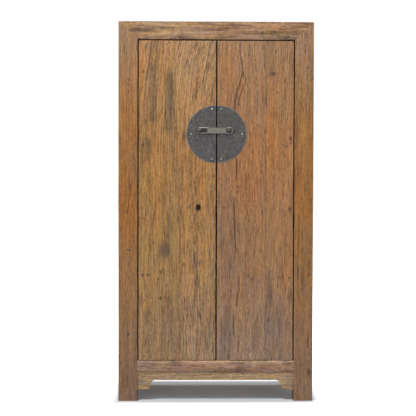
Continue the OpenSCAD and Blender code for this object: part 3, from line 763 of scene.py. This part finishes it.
# One rail between two posts; its axis says which way it runs
def buildRail(node, axis, look, seed, **more):
    low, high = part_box(node)
    if axis == "x":
        low.x, high.x = cab["openLeft"] - railEnd, cab["openRight"] + railEnd
    else:
        low.y, high.y = cab["insideFront"] - railEnd, cab["insideBack"] + railEnd
        more = {"heart": (low.z - 0.1, 0)}
    corner = 1.3 if node.startswith("bottom_rail") and axis == "x" else 1.0
    wood(node, member(node, low, high, axis, seed=seed, corner=corner), "carcass", "elm_frame",
         seed=seed, reach=(low.z, high.z), **look, **more)


def buildRails():
    buildRail("bottom_rail_front", "x", railLooks["bottom"], 14)
    buildRail("bottom_rail_back", "x", railLooks["bottom"], 16)
    buildRail("middle_rail_back", "x", railLooks["middle"], 17)
    for level, seed in (("bottom", 18), ("middle", 20)):
        for side, shift in (("left", 0), ("right", 1)):
            buildRail(level + "_rail_" + side, "y", railLooks["side"], seed + shift)


panelLooks = {
    "side": {"grain": "zSide", "grey": 0.4, "bands": 75, "wander": 0.02, "heart": (-0.8, 0.1),
             "tones": ((156, 120, 80), (152, 114, 72), (142, 110, 78))},
    "back": {"grey": 0.5, "bands": 70, "wander": 0.03,
             "tones": ((154, 120, 82), (148, 114, 78), (140, 108, 80))},
}


def buildPanels():
    seed = 24
    for level in ("upper", "lower"):
        for side in ("left", "right"):
            node = "side_panel_" + level + "_" + side
            seed += 1
            wood(node, member(node, *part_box(node), "z", seed=seed, corner=0.8, faces=2.0),
                 "carcass", "elm_panels", seed=seed, **panelLooks["side"])
            node = "back_board_" + level + "_" + side
            low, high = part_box(node)
            if side == "left":
                high.x += boardMeet
            else:
                low.x -= boardMeet
            wood(node, member(node, low, high, "z", seed=seed + 20, corner=0.8, faces=2.0),
                 "carcass", "elm_panels", seed=seed + 20, heart=(-0.9 if side == "left" else 0.9, 0.1),
                 **panelLooks["back"])


# Aprons: a board whose ends hang down in a rounded shape
apron = {
    "drop": 46 * mm,      # how far the ends hang down
    "foot": 56 * mm,      # width of an end at its foot
    "flare": 8 * mm,
    "round": 22 * mm,     # radius of the hollow corner
    "edge": 2.2 * mm,
    "into": 8 * mm,       # how far it reaches into the posts
}
apronLook = {"bands": 95, "heart": (0.05, -0.15), "wander": 0.008, "wave": 0.005, "grey": 0.3,
             "tones": ((158, 130, 100), (168, 140, 106), (166, 132, 96))}
# painted shade on the front apron beside both posts, where the posts shade its ends; here x is the height and
# z the way along
apronShadeMarks = (("olive", 92, -366, 66, 54, 0.75), ("olive", 92, 366, 66, 54, 0.75))


def apronOutline(half, low, high, into):
    base = low + apron["drop"]
    left = [(-half - into, high), (-half - into, low)]
    foot = -half + apron["foot"]
    left += [(foot - 3 * mm, low), (foot, low + 3 * mm)]
    cx = foot + apron["flare"] + apron["round"]
    cz = base - apron["round"]
    for k in range(9):
        a = math.radians(180 - 90 * k / 8)
        left.append((cx + apron["round"] * math.cos(a), cz + apron["round"] * math.sin(a)))
    steps = 24
    inner = [(cx * (1 - k / steps), base) for k in range(1, steps + 1)]
    bottom = left[2:] + inner
    right = [(-x, z) for x, z in reversed(bottom[:-1])]
    return left[:2] + bottom + right + [(half + into, low), (half + into, high)]


def buildAprons():
    for node, grain, seed in (("apron_front", "x", 50), ("apron_left", "y", 51), ("apron_right", "y", 52)):
        low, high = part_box(node)
        run = 0 if grain == "x" else 1
        thick = 1 - run
        middle = (low[run] + high[run]) / 2
        half = (high[run] - low[run]) / 2 - apron["into"]
        outline = apronOutline(half, low.z, high.z, apron["into"])
        bm = bmesh.new()
        verts = []
        for u, z in outline:
            at = [0, 0, z]
            at[run] = middle + u
            at[thick] = low[thick]
            verts.append(bm.verts.new(at))
        face = bm.faces.new(verts)
        moved = bmesh.ops.extrude_face_region(bm, geom=[face])
        for v in moved["geom"]:
            if isinstance(v, bmesh.types.BMVert):
                v.co[thick] = high[thick]
        bmesh.ops.recalc_face_normals(bm, faces=bm.faces[:])
        rims = [e for e in bm.edges if len(e.link_faces) == 2 and any(len(f.verts) > 8 for f in e.link_faces)]
        bmesh.ops.bevel(bm, geom=rims, offset=apron["edge"], segments=3, profile=0.6, affect="EDGES")
        wood(node, meshFrom(bm, node), "carcass", "elm_frame", grain=grain, seed=seed, front=low.y,
             reach=(low.z, high.z), marks=apronShadeMarks if node == "apron_front" else (), **apronLook)


# Doors
doorMarks = {
    "door_left_outer_board": (
        ("nail", -354, 1607, 10, 12, 0.75), ("nail", -342, 1725, 8, 20, 0.5),
        ("stain", -357, 1250, 18, 60, 0.55), ("nail", -357, 1249, 11, 11, 0.6),
        ("nail", -332, 1259, 11, 11, 0.6), ("nail", -358, 1169, 10, 14, 0.55),
        ("stain", -331, 1240, 26, 120, 0.4), ("stain", -231, 855, 20, 140, 0.55),
        ("stain", -252, 737, 60, 90, 0.7), ("nail", -357, 617, 12, 12, 0.75),
        ("nail", -332, 617, 12, 12, 0.7), ("knot", -269, 632, 10, 16, 0.7),
        ("knot", -279, 598, 9, 12, 0.7), ("knot", -269, 504, 17, 15, 0.8),
        ("stain", -264, 534, 10, 18, 0.6), ("stain", -347, 495, 12, 12, 0.6),
        ("nail", -332, 240, 9, 12, 0.6), ("stain", -222, 1480, 34, 380, 0.32),
        ("stain", -302, 1400, 26, 400, 0.26), ("stain", -340, 400, 22, 90, 0.4),
        ("amber", -365, 1560, 26, 330, 0.6), ("amber", -290, 1050, 150, 700, 0.35),
        ("strip", -231, 1460, 41, 360, 0.95), ("strip", -308, 1500, 39, 340, 0.7),
        ("olive", -340, 1235, 50, 130, 0.6), ("olive", -243, 775, 50, 150, 0.55),
        ("ash", -215, 350, 110, 330, 0.45)),
    "door_left_inner_board": (
        ("nail", -198, 1262, 9, 11, 0.6), ("hole", -86, 947, 23, 30, 0.9),
        ("nail", -132, 951, 17, 14, 0.6), ("pale", -136, 952, 9, 9, 0.4),
        ("stain", -42, 953, 12, 26, 0.5), ("pale", -184, 970, 7, 12, 0.6),
        ("stain", -107, 774, 18, 16, 0.5), ("stain", -93, 607, 14, 26, 0.5),
        ("stain", -78, 676, 14, 28, 0.5), ("stain", -73, 455, 12, 20, 0.5),
        ("stain", -222, 323, 20, 60, 0.4), ("stain", -56, 830, 8, 50, 0.4),
        ("stain", -60, 300, 60, 160, 0.25), ("amber", -110, 1000, 220, 800, 0.3),
        ("ash", -70, 300, 150, 330, 0.35)),
    "door_right_inner_board": (
        ("nail", 106, 1048, 10, 10, 0.8), ("knot", 106, 1024, 10, 14, 0.7),
        ("nail", 161, 884, 8, 10, 0.6), ("nail", 39, 946, 8, 10, 0.5),
        ("stain", 53, 607, 62, 8, 0.5), ("knot", 176, 598, 9, 16, 0.7),
        ("pale", 169, 227, 9, 16, 0.7), ("stain", 160, 245, 12, 40, 0.4),
        ("stain", 60, 380, 60, 260, 0.35), ("stain", 200, 330, 50, 200, 0.3),
        ("amber", 50, 1620, 90, 280, 0.5), ("amber", 120, 1530, 18, 120, 0.7),
        ("amber", 160, 1130, 120, 420, 0.5),
        ("ash", 60, 1020, 70, 330, 0.35), ("ash", 70, 760, 130, 420, 0.4),
        ("ash", 40, 290, 80, 280, 0.5), ("amber", 124, 460, 70, 240, 0.3)),
    "door_right_outer_board": (
        ("knot", 278, 1598, 20, 20, 0.8), ("stain", 278, 1598, 66, 16, 0.45), ("nail", 291, 1705, 8, 12, 0.6),
        ("knot", 334, 1566, 10, 14, 0.6), ("stain", 241, 1313, 26, 26, 0.55),
        ("pale", 230, 1264, 6, 12, 0.6), ("knot", 362, 1284, 16, 22, 0.9),
        ("nail", 364, 1264, 10, 10, 0.7), ("stain", 327, 1254, 12, 12, 0.6),
        ("knot", 361, 941, 14, 24, 0.9), ("knot", 361, 600, 16, 22, 0.8), ("pale", 362, 598, 7, 7, 0.6),
        ("knot", 258, 397, 12, 18, 0.75), ("stain", 266, 527, 34, 180, 0.5),
        ("amber", 235, 1340, 190, 520, 0.5), ("olive", 272, 1690, 34, 200, 0.45),
        ("stain", 262, 1597, 60, 60, 0.3), ("amber", 350, 640, 60, 240, 0.5),
        ("ash", 250, 380, 160, 360, 0.6), ("amber", 350, 290, 50, 220, 0.25)),
}
doorCracks = {
    "door_left_outer_board": (
        {"width": 2.6, "carved": False, "dark": 0.55,
         "points": ((-313, 1750), (-332, 1627), (-345, 1524), (-359, 1416))},),
    "door_left_inner_board": (
        {"width": 1.3, "points": ((-92, 640), (-88, 600), (-84, 560))},),
    "door_right_inner_board": (
        {"width": 2.4, "dark": 0.6, "tone": (84, 74, 72),
         "points": ((116, 1757), (116, 1694), (125, 1642), (128, 1602))},
        {"width": 2.8, "dark": 0.7,
         "points": ((128, 1604), (113, 1547), (101, 1504), (92, 1468), (92, 1412))},
        {"width": 2.2, "dark": 0.6,
         "points": ((130, 1600), (143, 1570), (137, 1547), (113, 1480), (110, 1446))},
        {"width": 1.6, "points": ((100, 1181), (101, 1130), (100, 1078))},
        {"width": 2.4, "points": ((86, 1000), (91, 926), (92, 833), (96, 735), (92, 710))},
        {"width": 2.2, "points": ((112, 608), (115, 553), (106, 514), (102, 465))},
        {"width": 2.0, "points": ((90, 446), (88, 392), (86, 328))}),
    "door_right_outer_board": (
        {"width": 1.4, "points": ((327, 622), (334, 580), (342, 534))},),
}
# x, z, width, height and depth
doorHoles = {"door_left_inner_board": ((-86, 947, 22, 29, 15),)}
battenLook = {"grain": "x", "tones": ((142, 108, 74),) * 3}
battenInto = 1 * mm     # how far a batten reaches into the boards
jointHalf = 0.05 * mm   # half of the joint between two boards
doorLooks = {
    "door_left_outer_board": {"seed": 31, "bands": 70, "heart": (-0.8, -0.1), "wander": 0.012,
                              "lean": (1.33, 0.2), "lines": 0.6, "stripes": 1.3,
                              "tones": ((166, 124, 82), (151, 113, 67), (149, 114, 69), (147, 116, 81))},
    "door_left_inner_board": {"seed": 32, "bands": 60, "heart": (-0.6, -0.15), "wander": 0.02,
                              "lean": (1.33, 0.36), "lines": 0.85, "stripes": 1.3,
                              "tones": ((171, 133, 94), (156, 115, 69), (155, 118, 75), (158, 126, 93))},
    "door_right_inner_board": {"seed": 33, "bands": 90, "heart": (0.6, -0.1), "wander": 0.012,
                               "contrast": 1.05, "stripes": 1.2,
                               "tones": ((154, 118, 86), (154, 108, 70), (147, 108, 74), (143, 117, 97))},
    "door_right_outer_board": {"seed": 37, "bands": 90, "heart": (-0.3, -0.1), "wander": 0.012,
                               "contrast": 1.0, "stripes": 1.4,
                               "tones": ((152, 115, 82), (157, 112, 70), (150, 110, 74), (138, 112, 92))},
}


leftOfJoint = ("door_left_outer_board", "door_right_inner_board")


# The two boards of a door meet along a line that leans
def boardLimits(node):
    low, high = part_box(node)
    side = "left" if "left" in node else "right"
    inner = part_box("door_" + side + "_inner_board")
    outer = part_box("door_" + side + "_outer_board")
    if side == "left":
        line = (outer[1].x, inner[0].x)     # at the bottom and at the top
    else:
        line = (outer[0].x, inner[1].x)

    def limits(s):
        t = (s - low.z) / (high.z - low.z)
        at = line[0] + (line[1] - line[0]) * t
        if node in leftOfJoint:
            return low.x, at - jointHalf, low.y, high.y
        return at + jointHalf, high.x, low.y, high.y
    return limits


def buildDoors():
    for node, look in doorLooks.items():
        low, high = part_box(node)
        side = "left" if "left" in node else "right"
        mesh = member(node, low, high, "z", limits=boardLimits(node), seed=look["seed"], corner=0.8,
                      tight=(0, 1) if node in leftOfJoint else (2, 3))
        mesh = carveFace(mesh, doorCracks[node], doorHoles.get(node, ()), low.y)
        wood(node, mesh, "door_" + side, "elm_" + side + "_door", marks=doorMarks[node],
             cracks=doorCracks[node], reach=(low.z, high.z), grime=gapShadeDepths, **look)
    for side in ("left", "right"):
        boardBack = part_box("door_" + side + "_outer_board")[1].y
        for seed, level in enumerate(("upper", "middle", "lower"), 60):
            node = "door_" + side + "_batten_" + level
            low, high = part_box(node)
            low.y = boardBack - battenInto
            wood(node, member(node, low, high, "x", seed=seed, corner=1.2), "door_" + side, "elm_inside",
                 seed=seed, reach=(low.z, high.z), heart=(low.z - 0.1, 0), **battenLook)


insideLook = {"grain": "xFlat", "bands": 65, "reach": (0, 3), "heart": (0.9, 0.5), "wander": 0.03,
              "tones": ((156, 124, 88),) * 3}
bearerLook = {"grain": "y", "reach": (0, 2), "tones": ((144, 112, 78),) * 3}


def buildInside():
    nodes = ("shelf_lower", "shelf_middle", "shelf_upper", "bottom_board_front", "bottom_board_back",
             "door_stop_top", "door_stop_bottom")
    for seed, node in enumerate(nodes, 70):
        wood(node, member(node, *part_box(node), "x", seed=seed, corner=0.7), "carcass", "elm_inside",
             seed=seed, **insideLook)
    bearers = elm("bearers", seed=78, **bearerLook)
    dress("shelf_bearers_left", bearers)
    dress("shelf_bearers_right", bearers)
    dress("top_batten", elm("topBatten", seed=79, **bearerLook))


# A CAD node keeps its own mesh and gets a material
def dress(node, material):
    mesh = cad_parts[node].data
    if mesh.materials:
        mesh.materials[0] = material
    else:
        mesh.materials.append(material)


# Lock plate: two halves of a hammered disc
lockPlate = {
    "rings": 44,
    "sectors": 132,
    "spread": 0.9,           # below 1, rings are closer together near the rim
    "rim": 0.7 * mm,         # how far the rim is drawn back
    "rimWidth": 2.2 * mm,
    "dent": 0.35 * mm,       # depth of hammer marks
    "dentsPerMetre": 45,
    "grain": 0.12 * mm,      # depth of the fine unevenness
    "grainsPerMetre": 160,
    "leastThick": 0.3 * mm,
}


def plateMesh(node, centre, keep):
    low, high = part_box(node)
    radius = high.z - centre.z
    bm = bmesh.new()
    layers = []
    for back in (False, True):
        grid = [[bm.verts.new((centre.x, high.y if back else low.y, centre.z))]]
        for i in range(1, lockPlate["rings"] + 1):
            away = radius * (i / lockPlate["rings"]) ** lockPlate["spread"]
            ring = []
            for k in range(lockPlate["sectors"]):
                a = 2 * math.pi * k / lockPlate["sectors"]
                at = Vector((centre.x + away * math.cos(a), 0, centre.z + away * math.sin(a)))
                dent = lockPlate["dent"] * (0.5 + 0.5 * noise.noise(at * lockPlate["dentsPerMetre"]))
                dent += lockPlate["grain"] * noise.noise(at * lockPlate["grainsPerMetre"])
                edge = lockPlate["rim"] * max(0, 1 - (radius - away) / lockPlate["rimWidth"]) ** 2
                face = min(low.y + max(0, dent) + edge, high.y - lockPlate["leastThick"])
                at.y = high.y if back else face
                ring.append(bm.verts.new(at))
            grid.append(ring)
        layers.append(grid)
    for grid in layers:
        for k in range(lockPlate["sectors"]):
            m = (k + 1) % lockPlate["sectors"]
            bm.faces.new((grid[0][0], grid[1][k], grid[1][m]))
            for inner, outer in zip(grid[1:], grid[2:]):
                bm.faces.new((inner[k], outer[k], outer[m], inner[m]))
    front, rear = layers[0][-1], layers[1][-1]
    for k in range(lockPlate["sectors"]):
        m = (k + 1) % lockPlate["sectors"]
        bm.faces.new((front[k], rear[k], rear[m], front[m]))
    cutOff(bm, (keep[0], 0, 0), (keep[1], 0, 0))
    bmesh.ops.recalc_face_normals(bm, faces=bm.faces[:])
    return meshFrom(bm, node)


# Forged pieces: the CAD form with its edges drawn round and its faces uneven
forgedLooks = {
    "staple": {"voxel": 0.55 * mm, "passes": 4, "dent": 0.15 * mm},
    "latch": {"voxel": 0.8 * mm, "passes": 6, "dent": 0.2 * mm},
}


def forged(node, voxel, passes, dent):
    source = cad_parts[node]
    bm = bmesh.new()
    bm.from_mesh(source.data)
    bmesh.ops.remove_doubles(bm, verts=bm.verts[:], dist=1e-5)
    work = addObject("work", meshFrom(bm, node))
    remesh = work.modifiers.new("remesh", "REMESH")
    remesh.mode = "VOXEL"
    remesh.voxel_size = voxel
    smooth = work.modifiers.new("smooth", "SMOOTH")
    smooth.factor = 0.5
    smooth.iterations = passes
    result = bakedMesh(work)
    normals = [v.normal.copy() for v in result.vertices]
    for v, normal in zip(result.vertices, normals):
        v.co -= normal * dent * (0.5 + 0.5 * noise.noise(v.co * 90) + 0.3 * noise.noise(v.co * 260))
    return result


# Domed nails, one on each point: a flattened ball with hammer marks
nails = {"radius": 5.5 * mm, "height": 3.4 * mm, "uneven": 0.45 * mm, "seed": 4}


def nailTree(material):
    group = bpy.data.node_groups.new("nailHeads", "GeometryNodeTree")
    face = group.interface
    face.new_socket("Points", in_out="INPUT", socket_type="NodeSocketGeometry")
    for name in ("Radius", "Height", "Uneven"):
        face.new_socket(name, in_out="INPUT", socket_type="NodeSocketFloat")
    face.new_socket("Seed", in_out="INPUT", socket_type="NodeSocketInt")
    face.new_socket("Heads", in_out="OUTPUT", socket_type="NodeSocketGeometry")
    tree = Tree(group)
    tree.node("NodeGroupInput")
    points, radius, height, uneven, seed = (Value(tree, s) for s in tree.last.outputs[:5])
    ball = tree.node("GeometryNodeMeshUVSphere", {}, {"Segments": 24, "Rings": 14, "Radius": 1.0})
    flat = tree.node("GeometryNodeTransform", {}, {
        "Geometry": ball, "Rotation": (math.pi / 2, 0, 0), "Scale": tree.join(radius, radius, height)})
    turn = tree.node("FunctionNodeRandomValue", {"data_type": "FLOAT"}, {2: 0.0, 3: 6.28, "Seed": seed}, 1)
    size = tree.node("FunctionNodeRandomValue", {"data_type": "FLOAT"}, {2: 0.93, 3: 1.04, "Seed": seed}, 1)
    heads = tree.node("GeometryNodeInstanceOnPoints", {}, {
        "Points": points, "Instance": flat, "Rotation": tree.join(0.0, turn, 0.0), "Scale": size})
    solid = tree.node("GeometryNodeRealizeInstances", {}, {0: heads})
    here = tree.node("GeometryNodeInputPosition")
    cloud = tree.cloud(here, 260.0, 1.0)
    normal = tree.node("GeometryNodeInputNormal")
    push = tree.node("ShaderNodeVectorMath", {"operation": "SCALE"},
                     {0: normal, "Scale": (cloud - 0.62) * uneven * 2.0})
    dented = tree.node("GeometryNodeSetPosition", {}, {"Geometry": solid, "Offset": push})
    painted = tree.node("GeometryNodeSetMaterial", {}, {"Geometry": dented, "Material": material})
    tree.node("NodeGroupOutput", {}, {0: painted})
    return group


# One nail far out at the plate's height, and one above and below nearer the middle
def nailPlaces(side):
    low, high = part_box("lock_nails_" + side)
    radius = nails["radius"]
    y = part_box("lock_plate_" + side)[0].y
    middle = (low.z + high.z) / 2
    outX = low.x + radius if side == "left" else high.x - radius
    nearX = high.x - radius if side == "left" else low.x + radius
    return ((outX, y, middle), (nearX, y, high.z - radius), (nearX, y, low.z + radius))


def buildNails(side, heads):
    material = iron("ironNails" + side, **ironLooks["nails"])
    group = nailTree(material)
    node = "lock_nails_" + side
    mesh = bpy.data.meshes.new(node)
    mesh.from_pydata(heads, [], [])
    work = addObject("work", mesh)
    modifier = work.modifiers.new("heads", "NODES")
    modifier.node_group = group
    for item in group.interface.items_tree:
        if item.in_out == "INPUT" and item.name.lower() in nails:
            modifier[item.identifier] = nails[item.name.lower()]
    place(camel(node), bakedMesh(work), material, "door_" + side, (node,), "iron_nails")


ironLooks = {
    "plate": {"base": (73, 69, 68), "light": (96, 92, 90), "dark": (50, 46, 46), "metal": 0.2,
              "rough": 0.55, "seed": 1, "mottling": 1.0},
    "nails": {"base": (150, 147, 142), "light": (205, 202, 196), "dark": (92, 88, 85), "metal": 0.55,
              "rough": 0.32, "seed": 5, "mottling": 0.6},
    "staple": {"seed": 2},
    "latch": {"base": (112, 106, 99), "light": (138, 132, 124), "dark": (82, 76, 72), "seed": 3},
    "pins": {"base": (44, 40, 38), "light": (60, 55, 52), "dark": (30, 27, 25), "metal": 0.1,
             "rough": 0.7, "seed": 6, "mottling": 1.0},
}
# dirt and painted shadow round the staples, and painted shadow under the bar
plateDirtAndShadow = {
    "left": ((-62, 1320, 20, 9), (-28, 1310, 40, 3.5)),
    "right": ((62, 1320, 14, 9), (28, 1310, 40, 3.5), (84, 1318, 8, 3)),
}


def buildIron():
    for side in ("left", "right"):
        node = "lock_plate_" + side
        low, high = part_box(node)
        radius = (high.z - low.z) / 2
        middle = low.x + radius if side == "left" else high.x - radius
        centre = Vector((middle, low.y, low.z + radius))
        heads = nailPlaces(side)
        plate = iron(camel(node), centre=tuple(centre), radius=radius, heads=heads,
                     dirt=plateDirtAndShadow[side], **ironLooks["plate"])
        keep = (high.x, 1) if side == "left" else (low.x, -1)
        place(camel(node), plateMesh(node, centre, keep), plate, "door_" + side, (node,), "iron_plate")
        buildNails(side, heads)
    staples = iron("ironDark", **ironLooks["staple"])
    pins = iron("ironPins", **ironLooks["pins"])
    for side in ("left", "right"):
        node = "staple_" + side
        place(camel(node), forged(node, **forgedLooks["staple"]), staples, "door_" + side, (node,),
              "iron_dark")
        dress("door_" + side + "_pivot_pins", pins)
    low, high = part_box("latch_bar")
    latch = iron("ironLatch", bar=(low.z, high.z), **ironLooks["latch"])
    place("latchBar", forged("latch_bar", **forgedLooks["latch"]), latch, "latch", ("latch_bar",),
          "iron_latch")


# Floor, light and camera
studio = {
    "cameraAt": (-0.126, -5.229, 1.07),
    "tilt": 88.565,
    "turn": -1.0,
    "roll": 0.15,
    "lens": 88.85,
    "sky": 0.3,
    "floorWhite": 0.06,      # how far outside the feet the floor is white
    "floorFade": -0.01,      # where the white starts
    "floorSize": 30,
    "floorTone": (0.72, 0.76, 0.8, 1),
    "aim": (0, 0, 0.9),
    # place, size and power of each lamp
    "lamps": {"key": ((-2.2, -4.2, 8.2), 1.6, 470), "front": ((-1.8, -5.4, 1.3), 2.2, 55),
              "side": ((3.4, -3.6, 2.4), 2.0, 20), "back": ((1.6, 3.6, 6.0), 2.0, 150)},
}


def buildStudio():
    scene = bpy.context.scene
    scene.view_settings.view_transform = "Standard"
    camera = bpy.data.cameras.new("camera")
    camera.lens = studio["lens"]
    camera.sensor_width = 36
    camera.clip_end = 100
    eye = addObject("camera", camera)
    eye.location = studio["cameraAt"]
    turn, tilt, roll = (Matrix.Rotation(math.radians(studio[name]), 3, axis)
                        for name, axis in (("turn", "Z"), ("tilt", "X"), ("roll", "Z")))
    eye.rotation_euler = (turn @ tilt @ roll).to_euler()
    scene.camera = eye

    for name, (at, size, power) in studio["lamps"].items():
        light = bpy.data.lights.new(name, "AREA")
        light.energy = power
        light.size = size
        lamp = addObject(name, light)
        lamp.location = at
        lamp.rotation_euler = (Vector(studio["aim"]) - Vector(at)).to_track_quat("-Z", "Y").to_euler()

    world = bpy.data.worlds.new("world")
    scene.world = world
    world.use_nodes = True
    world.node_tree.nodes.clear()
    tree = Tree(world.node_tree)
    tree.node("ShaderNodeLightPath")
    ways = {out.name: Value(tree, out) for out in tree.last.outputs}
    seen = tree.maths("MAXIMUM", ways["Is Camera Ray"],
                      tree.maths("MAXIMUM", ways["Is Glossy Ray"], ways["Is Transmission Ray"]))
    strength = studio["sky"] + seen * (1 - studio["sky"])
    back = tree.node("ShaderNodeBackground", {}, {0: (1, 1, 1, 1), 1: strength})
    tree.node("ShaderNodeOutputWorld", {}, {0: back})

    material, tree = newMaterial("floor")
    tree.node("ShaderNodeLightPath")
    seen = Value(tree, tree.last.outputs["Is Camera Ray"])
    x, y = tree.split(tree.node("ShaderNodeTexCoord", {}, {}, 3))[:2]
    beside = tree.maths("MAXIMUM", tree.maths("ABSOLUTE", x) - cab["right"], 0.0)
    before = tree.maths("MAXIMUM", tree.maths("ABSOLUTE", y) - cab["back"], 0.0)
    away = tree.length(tree.join(beside, before, 0.0))
    bright = tree.ease(away, studio["floorFade"], studio["floorWhite"])
    shader = tree.node("ShaderNodeBsdfPrincipled", {}, {
        "Base Color": studio["floorTone"], "Roughness": 0.9, "Specular IOR Level": 0.0,
        "Emission Color": (1, 1, 1, 1), "Emission Strength": seen * bright})
    tree.node("ShaderNodeOutputMaterial", {}, {0: shader})
    bm = bmesh.new()
    bmesh.ops.create_grid(bm, x_segments=1, y_segments=1, size=studio["floorSize"])
    mesh = meshFrom(bm, "floor")
    mesh.materials.append(material)
    floor = addObject("floor", mesh)


buildPosts()
print("posts made")
buildTopFrame()
buildRails()
print("rails made")
buildPanels()
buildAprons()
print("panels and aprons made")
buildDoors()
print("doors made")
buildInside()
buildIron()
print("ironwork made")
buildStudio()
print("studio made")
